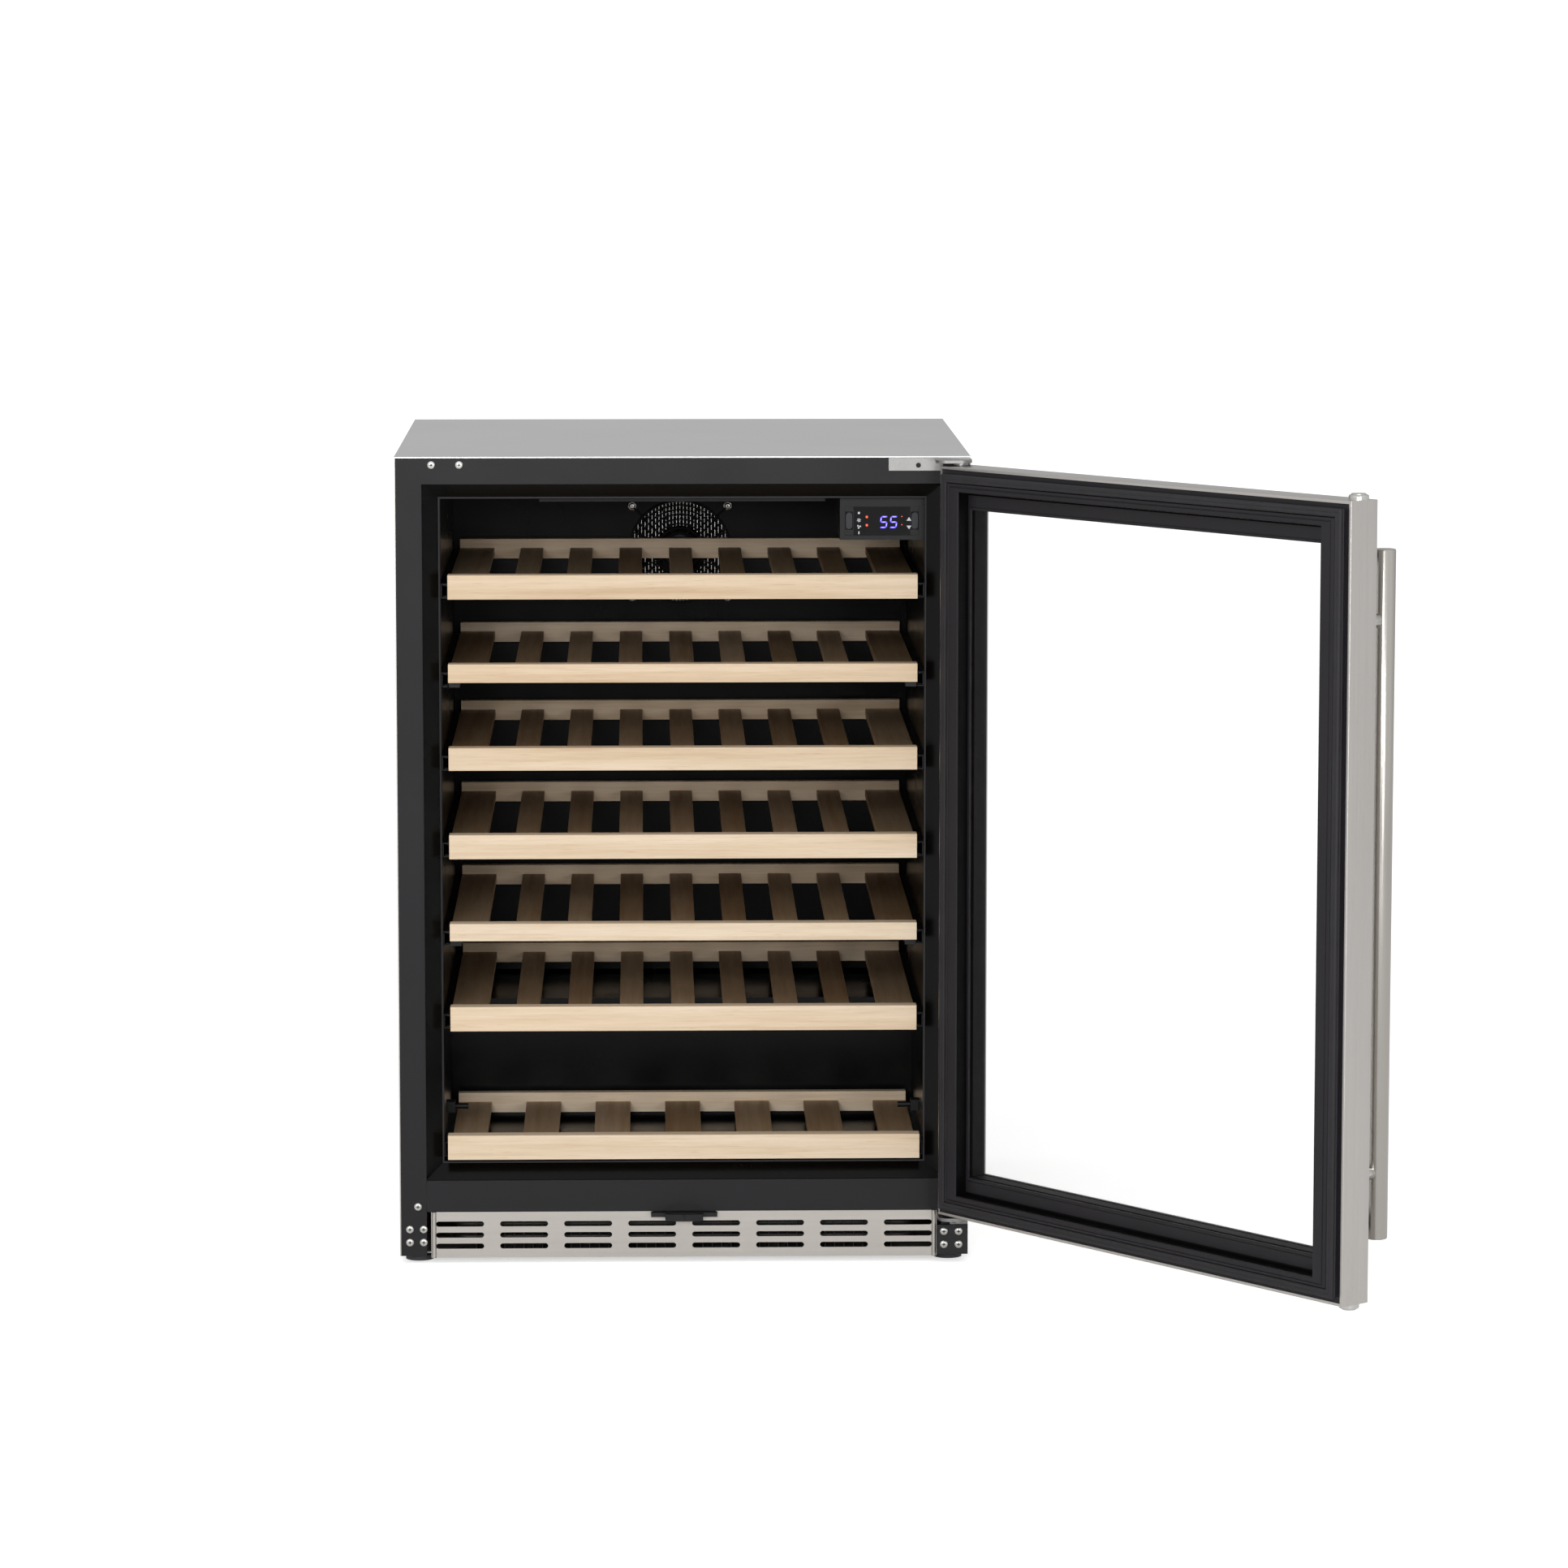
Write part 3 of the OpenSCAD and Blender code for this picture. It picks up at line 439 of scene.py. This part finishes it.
def add_pan_screw(bm, x, z, radius, seat, out=-1, mats=(0, 1)):
    """A pan head on a vertical face at y = seat, standing out along out * Y, with a tapered cross recess.

    mats are for the head and for the cross recess, whose dark material is painted shade.
    """
    head, painted_recess_shade = mats
    rim, crown, recess = 0.5, 1.7, 1.0
    taper = 0.8
    angles = [2 * math.pi * n / SCREW_SIDES for n in range(SCREW_SIDES)]
    rings = [
        [bm.verts.new(placed(Y, (x, seat, z), r, angle, out * h)) for angle in angles]
        for r, h in (
            (radius, 0), (radius, rim), (radius * 0.93, rim + 0.45), (radius * 0.74, crown - 0.22),
            (radius * 0.52, crown),
        )
    ]
    for a, b in zip(rings, rings[1:]):
        bridge(bm, a, b, head)
    arm, half = radius * 0.42, radius * 0.105
    cross = [(arm, half), (half, half), (half, arm), (-half, arm), (-half, half), (-arm, half),
             (-arm, -half), (-half, -half), (-half, -arm), (half, -arm), (half, -half), (arm, -half)]

    def cross_at(scale, y):
        return [bm.verts.new([(x + u * scale) * MM, y * MM, (z + v * scale) * MM]) for u, v in cross]

    top = cross_at(1, seat + out * crown)
    floor = cross_at(taper, seat + out * (crown - recess))
    edges = [bm.edges.get((rings[-1][n], rings[-1][(n + 1) % SCREW_SIDES])) for n in range(SCREW_SIDES)]
    edges += [bm.edges.new((top[n], top[(n + 1) % len(top)])) for n in range(len(top))]
    crown_faces = bmesh.ops.triangle_fill(bm, use_beauty=True, use_dissolve=False, edges=edges)["geom"]
    for face in crown_faces:
        if isinstance(face, bmesh.types.BMFace):
            face.material_index = head
    # The recess walls and floor take the dark material, which is painted shade.
    bridge(bm, top, floor, painted_recess_shade)
    bm.faces.new(floor).material_index = painted_recess_shade
    bm.faces.new(rings[0]).material_index = head


def make(name, bm, mats, body, replaced=(), bevel=0.0, matrix=None, smooth=35):
    """The piece from a mesh: its materials, soft edges, body and the nodes it stands for."""
    bmesh.ops.recalc_face_normals(bm, faces=bm.faces)
    mesh = bpy.data.meshes.new(name)
    bm.to_mesh(mesh)
    bm.free()
    piece = bpy.data.objects.new(name, mesh)
    scene.collection.objects.link(piece)
    for mat in mats:
        mesh.materials.append(mat)
    mesh.polygons.foreach_set("use_smooth", [True] * len(mesh.polygons))
    if bevel:
        soften(piece, bevel)
    else:
        mesh.set_sharp_from_angle(angle=math.radians(smooth))
    if matrix is not None:
        piece.matrix_world = matrix
    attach(piece, body)
    if replaced:
        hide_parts(*replaced)


def soften(obj, width):
    """Rounds the sharp edges by a width in millimetres."""
    mod = obj.modifiers.new("edges", "BEVEL")
    mod.width = width * MM
    mod.segments = BEVEL_SEGMENTS
    mod.limit_method = "ANGLE"
    mod.angle_limit = math.radians(SHARP_DEGREES)
    mod.harden_normals = True


# ---------------------------------------------------------------- racks

STRIP_HEIGHTS = [25.5, 19.5, 24, 25.5, 18.5, 26, 26]
STRIP_T = 18
SLAT_DROP, SLAT_T = 10, 8
RAIL_T = 12
RAIL_LOWER = 4
RACK_HALF = 245.5
BRACE_IN, BRACE_W, BRACE_H, BRACE_INSET = 45, 33, 8, 12.05
CARRIER_W, CARRIER_H = 12, 8.5
RUNNER_H, RUNNER_T, RUNNER_DROP = 12, 5.4, 18.5
RUNNER_IN, RUNNER_GAP, SHEET = 4, 0.1, 1
SEAM = 0.05
SHORT_RACK = 7
SHORT_EXTRA = 3.5
# Board values: the front strip and rear rail, which stand in the light, stay plain beech. The slats, side
# boards and brace take low values, which are painted shade for the inside of the rack.
LIT_TONES, SHADED_TONES = (0.6, 1.0), (0.0, 0.3)


def rack(number, strip_h):
    """Front strip, rear rail, slats, side and cross boards, with a folded steel runner on each side."""
    node = f"shelf_{number}"
    lo, hi = box_mm(node)
    short = number == SHORT_RACK
    half = RACK_HALF
    strip_half = half + (SHORT_EXTRA if short else 0)
    pitch, slat_w, side_in, count = (76, 38, 209, 2) if short else (55, 25, 207, 3)
    top, front, back = hi.z, lo.y, hi.y - RAIL_T
    behind = front + STRIP_T
    slat_hi = top - SLAT_DROP
    slat_lo = slat_hi - SLAT_T
    wood_x, wood_y, rail = 0, 1, 2
    bm = bmesh.new()

    def tone_and_shade(limits):
        return dice.uniform(*limits)

    # Front strip and rear rail stay plain; the inner boards below are darkened with painted shade.
    add_box(bm, (-strip_half, front, top - strip_h), (strip_half, behind, top), wood_x, tone_and_shade(LIT_TONES))
    add_box(bm, (-half, back, slat_lo - RAIL_LOWER), (half, back + RAIL_T, top), wood_x, tone_and_shade(LIT_TONES))
    for side in (-1, 1):
        a, b = sorted((side * side_in, side * half))
        add_box(bm, (a, behind, slat_lo), (b, back, slat_hi), wood_y, tone_and_shade(SHADED_TONES))
    for n in range(-count, count + 1):
        middle = n * pitch
        add_box(bm, (middle - slat_w / 2, behind, slat_lo), (middle + slat_w / 2, back, slat_hi),
                wood_y, tone_and_shade(SHADED_TONES))
    brace = behind + BRACE_IN
    add_box(bm, (-half + BRACE_INSET, brace, slat_lo - BRACE_H),
            (half - BRACE_INSET, brace + BRACE_W, slat_lo - SEAM), wood_x, tone_and_shade(SHADED_TONES))
    z = top - RUNNER_DROP
    for side in (-1, 1):
        inner, outer = side * (half + RUNNER_GAP), side * (half + RUNNER_T)
        a, b = sorted((inner, inner + side * SHEET))
        add_box(bm, (a, behind + RUNNER_IN, z - RUNNER_H / 2), (b, back, z + RUNNER_H / 2), rail)
        a, b = sorted((inner, outer))
        for low, high in ((-RUNNER_H / 2, -RUNNER_H / 2 + SHEET), (RUNNER_H / 2 - SHEET, RUNNER_H / 2)):
            add_box(bm, (a, behind + RUNNER_IN, z + low), (b, back, z + high), rail)
        a, b = sorted((side * (half - CARRIER_W), side * half))
        add_box(bm, (a, behind, slat_lo - CARRIER_H), (b, back, slat_lo - SEAM), rail)
    make(f"rack_{number}", bm, [beech_x, beech_y, rail_black], node, (node,), bevel=0.9)


for number, strip_h in enumerate(STRIP_HEIGHTS, 1):
    rack(number, strip_h)


# ---------------------------------------------------------------- door

lo, hi = shut_box_mm("door_frame")
door_half, door_z0, door_z1 = hi.x, lo.z, hi.z
door_out, door_in = lo.y, hi.y
stile, rail_w = 34, 44

# Steel tray: outer face, round corner, side, and the narrow lip folded back over the liner
lip, skin = 3, 1.5
fold = 1.2
outer_r, inner_r = 2.2, 0.8
profile = [(stile, rail_w, door_out)]
for n in range(7):
    angle = math.pi / 2 * n / 6
    inset = outer_r - outer_r * math.sin(angle)
    profile.append((inset, inset, door_out + outer_r - outer_r * math.cos(angle)))
for n in range(5):
    angle = math.pi / 2 * n / 4
    inset = inner_r - inner_r * math.cos(angle)
    profile.append((inset, inset, door_in - inner_r + inner_r * math.sin(angle)))
profile += [(lip, lip, door_in), (lip, lip, door_in - fold), (skin, skin, door_in - fold),
            (skin, skin, door_out + skin), (stile, rail_w, door_out + skin)]
bm = bmesh.new()
add_frame(bm, door_half, door_z0, door_z1, profile)
make("door_skin", bm, [steel_z, steel_x], "door", ("door_frame",), matrix=OPENED, smooth=28)

# Plastic inner frame: a flat band with a groove beside the seal, a step down whose wall is painted near-black
# as painted shadow, and the glass ledge
lo, hi = shut_box_mm("door_liner")
rise = hi.y
step_depth = 14
step = rise - step_depth
sight = 39
ledge = shut_box_mm("glass_panes")[1].y
flat = [
    (1.8, 1.8, door_out + 1.7), (1.8, 1.8, door_in - 1.4), (16.6, 16.6, door_in - 1.4),
    (16.6, 16.6, rise - 1.2), (17.2, 17.2, rise - 0.4), (18.2, 18.2, rise), (20.4, 19.4, rise),
    (20.9, 19.8, rise - 0.9), (21.9, 20.5, rise - 0.9), (22.4, 20.9, rise), (33.4, 24.2, rise),
    (34.5, 25.0, rise - 0.4),
]
wall = [
    (35.0, 25.5, rise - 1.4), (35.0, 25.5, step + 0.2), (35.3, 25.8, step - 1.6),
    (35.9, 28.4, step - 1.6),
]
rebate = [
    (36.0, 28.6, step), (38.0, 40.2, step), (38.1, 40.5, step - 0.8), (38.3, 41.3, step - 0.8),
    (38.4, 41.6, step), (38.8, 43.4, step - 0.1), (sight, rail_w, step - 0.7), (sight, rail_w, ledge + 0.1),
    (28.6, 38.6, ledge + 0.1), (28.4, 38.4, door_out + 4.9), (stile, rail_w, door_out + 4.9),
    (stile, rail_w, door_out + 1.7),
]
bm = bmesh.new()
wall_strips = range(len(flat), len(flat) + len(wall))
add_frame(bm, door_half, door_z0, door_z1, flat + wall + rebate, (0, 0), band=wall_strips)
make("door_inner_frame", bm, [inner_charcoal, shadow_black], "door", ("door_liner",),
     matrix=OPENED, smooth=24)

# Magnetic seal: foot in the groove, bellows, and a rounded magnet pocket
lo, hi = shut_box_mm("door_gasket")
face = hi.y
seal_in = door_half - hi.x
seal_foot = door_in - fold
seal_h, seal_scale = 8.3, 0.76
shape = [(1.2, 0.0), (1.2, 2.0), (0.2, 3.0), (0.9, 4.2), (0.2, 5.2), (0.5, 7.2), (1.8, 8.3), (4.6, 8.3),
         (5.8, 7.7), (7.0, 8.3), (9.8, 8.3), (11.1, 7.2), (11.4, 5.2), (10.7, 4.2), (11.4, 3.0),
         (10.4, 2.0), (10.4, 0.0)]
profile = [
    (seal_in + u * seal_scale, seal_in + u * seal_scale, seal_foot + v * (face - door_in + fold) / seal_h)
    for u, v in shape
]
bm = bmesh.new()
add_frame(bm, door_half, door_z0, door_z1, profile, (0, 0))
make("door_seal", bm, [seal_rubber], "door", ("door_gasket",), matrix=OPENED, smooth=50)

# Handle bar and its two posts
lo, hi = shut_box_mm("handle_bar")
bar_r = (hi.x - lo.x) / 2
bar_at = (lo.x + bar_r, lo.y + bar_r, 0)
bm = bmesh.new()
add_lathe(bm, [(0, lo.z), (bar_r - 1.4, lo.z), (bar_r - 0.5, lo.z + 0.35), (bar_r, lo.z + 1.3),
               (bar_r, hi.z - 1.3), (bar_r - 0.5, hi.z - 0.35), (bar_r - 1.4, hi.z), (0, hi.z)],
          Z, bar_at, steps=96)
make("handle_tube", bm, [handle_steel], "door", ("handle_bar",), matrix=OPENED, smooth=30)
bm = bmesh.new()
post_r, neck_r, flange_r = 7, 6.6, 7.6
door_face = -bar_at[1] + door_out
standoff_lo, standoff_hi = shut_box_mm("handle_standoffs")
for z in (standoff_lo.z + post_r, standoff_hi.z - post_r):
    add_lathe(bm, [(0, bar_r - 4), (neck_r, bar_r - 4), (neck_r, bar_r + 1.2), (post_r, bar_r + 2),
                   (post_r, door_face - 1.6), (flange_r, door_face - 0.9), (flange_r, door_face),
                   (0, door_face)],
              Y, (bar_at[0], bar_at[1], z), steps=48)
make("handle_posts", bm, [bright_steel], "door", ("handle_standoffs",),
     matrix=OPENED, smooth=30)

# Covers over the spare hinge holes on the free edge
lo, hi = shut_box_mm("hinge_hole_plugs")
plug_at = ((lo.x + hi.x) / 2, (lo.y + hi.y) / 2, 0)
bm = bmesh.new()
cover = [(0, -0.2), (10, -0.2), (10, 3.6), (9.4, 4.6), (8.4, 5), (7.5, 5), (7.5, 5.7), (6.9, 6.2), (0, 6.2)]
for z, way in ((door_z1, 1), (door_z0, -1)):
    add_lathe(bm, [(radius, z + way * height) for radius, height in cover], Z, plug_at)
make("hinge_hole_covers", bm, [bright_steel], "door", ("hinge_hole_plugs",),
     matrix=OPENED, smooth=30)

# ---------------------------------------------------------------- cabinet details

EDGE_WIDTHS = {
    "top_panel": 0.5, "front_frame": 0.7, "lower_front_panel": 0.6, "controller_housing": 0.7,
    "corner_plate": 0.5, "led_lamp": 0.8, "lock_body": 0.8,
}
for name, width in EDGE_WIDTHS.items():
    soften(nodes[name], width)

# Screws of the top rail, of the free side's foot plate, and of the corner plate under the hinge
front_y = box_mm("front_frame")[0].y
plate_y = box_mm("corner_plate")[0].y
front_screw_r = 4.2
bm = bmesh.new()
for x, z in ((-261.2, 844.7), (-232.2, 844.7), (-289.5, 22.5), (-289.5, 36.5), (-275, 22.5), (-275, 36.5),
             (-280.8, 60.8)):
    add_pan_screw(bm, x, z, front_screw_r, front_y)
for x in (274.5, 290):
    for z in (19, 33):
        add_pan_screw(bm, x, z, front_screw_r, plate_y)
# The matt black in the screw recesses is painted shade.
make("cabinet_screw_heads", bm, [bright_steel, matt_black], "cabinet", ("cabinet_screws",))

# Rounded lip where the liner meets the throat
throat_depth = 16
throat_half, throat_z0, throat_z1 = 256.2, 102.8, 811.2
lip_y = box_mm("front_frame")[1].y + throat_depth
shape = [(0, -0.9), (0.5, -1.5), (1.6, -1.9), (2.8, -1.5), (3.4, -0.6), (3.4, 0.4), (0, 0.4)]
bm = bmesh.new()
add_frame(bm, throat_half, throat_z0, throat_z1, [(u, u, lip_y + v) for u, v in shape], (0, 0))
make("liner_lip", bm, [inner_charcoal], "cabinet", smooth=60)

# Screws around the back panel
lo, hi = box_mm("rear_panel")
side_in, end_in, back_screw_r = 9, 14, 3.4
rows, columns = 6, 3
bm = bmesh.new()
for side in (-1, 1):
    for n in range(rows):
        z = lo.z + end_in + n * (hi.z - lo.z - 2 * end_in) / (rows - 1)
        add_pan_screw(bm, side * (hi.x - side_in), z, back_screw_r, hi.y, out=1)
for n in range(1, columns + 1):
    for z in (lo.z + end_in, hi.z - end_in):
        add_pan_screw(bm, lo.x + n * (hi.x - lo.x) / (columns + 1), z, back_screw_r, hi.y, out=1)
# The matt black in the screw recesses is painted shade.
make("back_panel_screws", bm, [bright_steel, matt_black], "cabinet")

# Wire guard over the evaporator fan: rings, spokes, four lugs with screws, and a fine mesh behind them
lo, hi = box_mm("fan_guard")
cover_y = hi.y
fan_z = (lo.z + hi.z) / 2
wire_y = cover_y - 4
ring_pitch, ring_wire = 5.2, 0.85
spokes, hub_boss, spoke_end, spoke_wire = 8, 9, 57, 0.9
lug_x, lug_z, lug_wire = 53.5, 51, 1.1
corner_signs = [(sx, sz) for sx in (-1, 1) for sz in (-1, 1)]
bm = bmesh.new()
for n in range(2, 12):
    add_torus(bm, Y, (0, wire_y, fan_z), ring_pitch * n, ring_wire)
for n in range(spokes):
    angle = math.pi / 4 * n + math.pi / 8
    c, s = math.cos(angle), math.sin(angle)
    add_rod(bm, (hub_boss * c, wire_y + 1.4, fan_z + hub_boss * s),
            (spoke_end * c, wire_y + 1.4, fan_z + spoke_end * s), spoke_wire)
boss = [(0, -1), (8.6, -1), (9.4, -0.4), (9.4, 1.6), (0, 1.6)]
add_lathe(bm, [(radius, wire_y + height) for radius, height in boss], Y, (0, 0, fan_z))
for sx, sz in corner_signs:
    add_rod(bm, (sx * 38, wire_y + 0.6, fan_z + sz * 36),
            (sx * 51, wire_y + 1.5, fan_z + sz * 48.5), lug_wire)
    add_torus(bm, Y, (sx * lug_x, wire_y + 2.2, fan_z + sz * lug_z), 4.4, lug_wire, 1, 32)
mesh_r, hub_r = 55.5, 29
mesh_pitch, mesh_wire, mesh_sides = 3.9, 0.5, 6
count = int(mesh_r / mesh_pitch)
for n in range(-count, count + 1):
    across = n * mesh_pitch
    far = math.sqrt(mesh_r ** 2 - across ** 2)
    near = math.sqrt(max(hub_r ** 2 - across ** 2, 0.0))
    for way in (-1, 1):
        a, b = way * near, way * far
        add_rod(bm, (across, cover_y - 1.3, fan_z + a), (across, cover_y - 1.3, fan_z + b),
                mesh_wire, 1, mesh_sides)
        add_rod(bm, (a, cover_y - 0.8, fan_z + across), (b, cover_y - 0.8, fan_z + across),
                mesh_wire, 1, mesh_sides)
for sx, sz in corner_signs:
    # The matt black in the screw recesses is painted shade.
    add_pan_screw(bm, sx * lug_x, fan_z + sz * lug_z, 3.6, wire_y + 1.4, mats=(1, 0))
make("fan_guard_wires", bm, [matt_black, bright_steel], "cabinet", ("fan_guard",), smooth=40)

# Controller: digits, lamps, symbols and arrows on the display
lens_y = box_mm("display_lens")[0].y
mark_out, mark_in = lens_y - 0.3, lens_y + 0.1
FIVE = "afgcd"
DIGIT_W, DIGIT_H, DIGIT_Z = 6.4, 11.2, 776.0
CORE = 0.55


def digit_segments(left, low, width, height, lit):
    """The lit bars of a slanted seven-segment digit, as outlines in X and Z."""
    stroke, gap, slant = 1.5, 0.2, 0.13
    h = stroke / 2
    mid = height / 2
    bars = {
        "a": (0, height, width, height), "g": (0, mid, width, mid), "d": (0, 0, width, 0),
        "f": (0, mid, 0, height), "b": (width, mid, width, height),
        "e": (0, 0, 0, mid), "c": (width, 0, width, mid),
    }
    for key in lit:
        x0, z0, x1, z1 = bars[key]
        if z0 == z1:
            shape = [(x0 + gap, z0), (x0 + h, z0 + h), (x1 - h, z0 + h),
                     (x1 - gap, z0), (x1 - h, z0 - h), (x0 + h, z0 - h)]
        else:
            shape = [(x0, z0 + gap), (x0 + h, z0 + h), (x0 + h, z1 - h),
                     (x0, z1 - gap), (x0 - h, z1 - h), (x0 - h, z0 + h)]
        yield [(left + u + slant * v, low + v) for u, v in shape]


bm = bmesh.new()
for left in (206.9, 217.2):
    for outline in digit_segments(left, DIGIT_Z, DIGIT_W, DIGIT_H, FIVE):
        add_prism(bm, outline, lens_y - 0.25, mark_in, 0)
        cx, cz = [sum(p[i] for p in outline) / len(outline) for i in (0, 1)]
        inner = [(cx + (u - cx) * CORE, cz + (v - cz) * CORE) for u, v in outline]
        add_prism(bm, inner, lens_y - 0.35, lens_y - 0.2, 1)
make("controller_digits", bm, [digit_light, digit_core], "cabinet")

bm = bmesh.new()
for z in (787.0, 778.4):
    add_lathe(bm, [(0, -0.4), (1.0, -0.4), (1.3, -0.15), (1.3, 0.1), (0, 0.1)], Y, (193.1, lens_y, z), 0, 20)
for z in (787.4, 778.8):
    add_lathe(bm, [(0, -0.3), (0.5, -0.3), (0.6, 0.1), (0, 0.1)], Y, (229.8, lens_y, z), 0, 16)
make("controller_lamps", bm, [red_light], "cabinet")


def add_blades(bm, x, z, count, half):
    """Flat arms around a point, each with that half width."""
    near, far, start = 0.5, 2.1, 0.3
    for n in range(count):
        angle = 2 * math.pi * n / count + start
        c, s = math.cos(angle), math.sin(angle)
        outline = [
            (x + c * reach - s * way * half, z + s * reach + c * way * half)
            for reach, way in ((near, 1), (near, -1), (far, -1), (far, 1))
        ]
        add_prism(bm, outline, mark_out, mark_in)


bm = bmesh.new()
symbol_x = 184.8
add_lathe(bm, [(0, -0.3), (1.2, -0.3), (1.2, 0.1), (0, 0.1)], Y, (symbol_x, lens_y, 791.2), 0, 20)
add_blades(bm, symbol_x, 783.6, 6, 0.35)
add_blades(bm, symbol_x, 776.8, 3, 0.7)
bar_z = 770.4
add_prism(bm, [(symbol_x - 0.6, bar_z - 1.4), (symbol_x + 0.6, bar_z - 1.4),
               (symbol_x + 0.6, bar_z + 1.4), (symbol_x - 0.6, bar_z + 1.4)], mark_out, mark_in)
for z, way in ((784.6, 1), (776.2, -1)):
    add_prism(bm, [(234.8, z - way * 1.6), (239.8, z - way * 1.6), (237.3, z + way * 2.2)], mark_out, mark_in)
make("controller_symbols", bm, [mark_white], "cabinet")

# ---------------------------------------------------------------- stage, light and camera


def pale_floor():
    """A wide plain floor, a little brighter to the camera than the light that it gives."""
    bm = bmesh.new()
    bmesh.ops.create_grid(bm, x_segments=8, y_segments=8, size=30)
    mesh = bpy.data.meshes.new("floor")
    bm.to_mesh(mesh)
    bm.free()
    floor = bpy.data.objects.new("floor", mesh)
    scene.collection.objects.link(floor)
    made, tree, shader = new_material("studio_floor", Roughness=0.9, Specular_IOR_Level=0.0)
    cloud = noise(tree, 0.6, 2)
    white = ramp(tree, cloud, (0.3, (0.90, 0.90, 0.90, 1)), (0.7, (0.93, 0.93, 0.93, 1)))
    tree.links.new(white, shader.inputs["Base Color"])
    tree.links.new(white, shader.inputs["Emission Color"])
    seen = tree_node(tree, "LightPath").outputs["Is Camera Ray"]
    tree.links.new(mapped(tree, seen, 0.0, 0.6, 0.0, 1.0), shader.inputs["Emission Strength"])
    mesh.materials.append(made)


def area_light(name, at, target, width, height, power):
    """A soft rectangular light that points at a target."""
    lamp = bpy.data.lights.new(name, "AREA")
    lamp.shape = "RECTANGLE"
    lamp.size, lamp.size_y = width, height
    lamp.energy = power
    obj = bpy.data.objects.new(name, lamp)
    scene.collection.objects.link(obj)
    obj.location = at
    obj.rotation_euler = (Vector(target) - Vector(at)).to_track_quat("-Z", "Y").to_euler()


pale_floor()

# White to the camera, and as a light brighter from the front than from behind
world = bpy.data.worlds.new("studio")
world.use_nodes = True
world_tree = world.node_tree
world_tree.nodes.clear()
direction = tree_node(world_tree, "TexCoord").outputs["Generated"]
backward = tree_node(world_tree, "SeparateXYZ", {"Vector": direction}).outputs["Y"]
strength = mapped(world_tree, backward, 0.86, 0.5, -0.3, 0.7)
lit = tree_node(world_tree, "Background", {"Color": (1, 1, 1, 1), "Strength": strength})
plain = tree_node(world_tree, "Background", {"Color": (1, 1, 1, 1), "Strength": 1.16})
seen = tree_node(world_tree, "LightPath").outputs["Is Camera Ray"]
sky = tree_node(world_tree, "MixShader", {"Fac": seen})
world_tree.links.new(lit.outputs[0], sky.inputs[1])
world_tree.links.new(plain.outputs[0], sky.inputs[2])
tree_node(world_tree, "OutputWorld", {"Surface": sky.outputs[0]})
scene.world = world
scene.view_settings.view_transform = "Standard"

front_middle = (0, -0.3, 0.45)
area_light("key", (-0.9, -6.0, 1.9), front_middle, 1.6, 1.2, 100)
area_light("fill", (1.5, -5.6, 1.0), front_middle, 1.0, 1.0, 25)

camera = bpy.data.cameras.new("camera")
camera.lens = 136.92
camera.sensor_width = 36
camera.clip_end = 200
viewpoint = bpy.data.objects.new("camera", camera)
scene.collection.objects.link(viewpoint)
viewpoint.location = (-0.0404, -6.4884, 1.3043)
viewpoint.rotation_euler = (math.radians(90 - 7.31), 0, math.radians(-1.35))
scene.camera = viewpoint
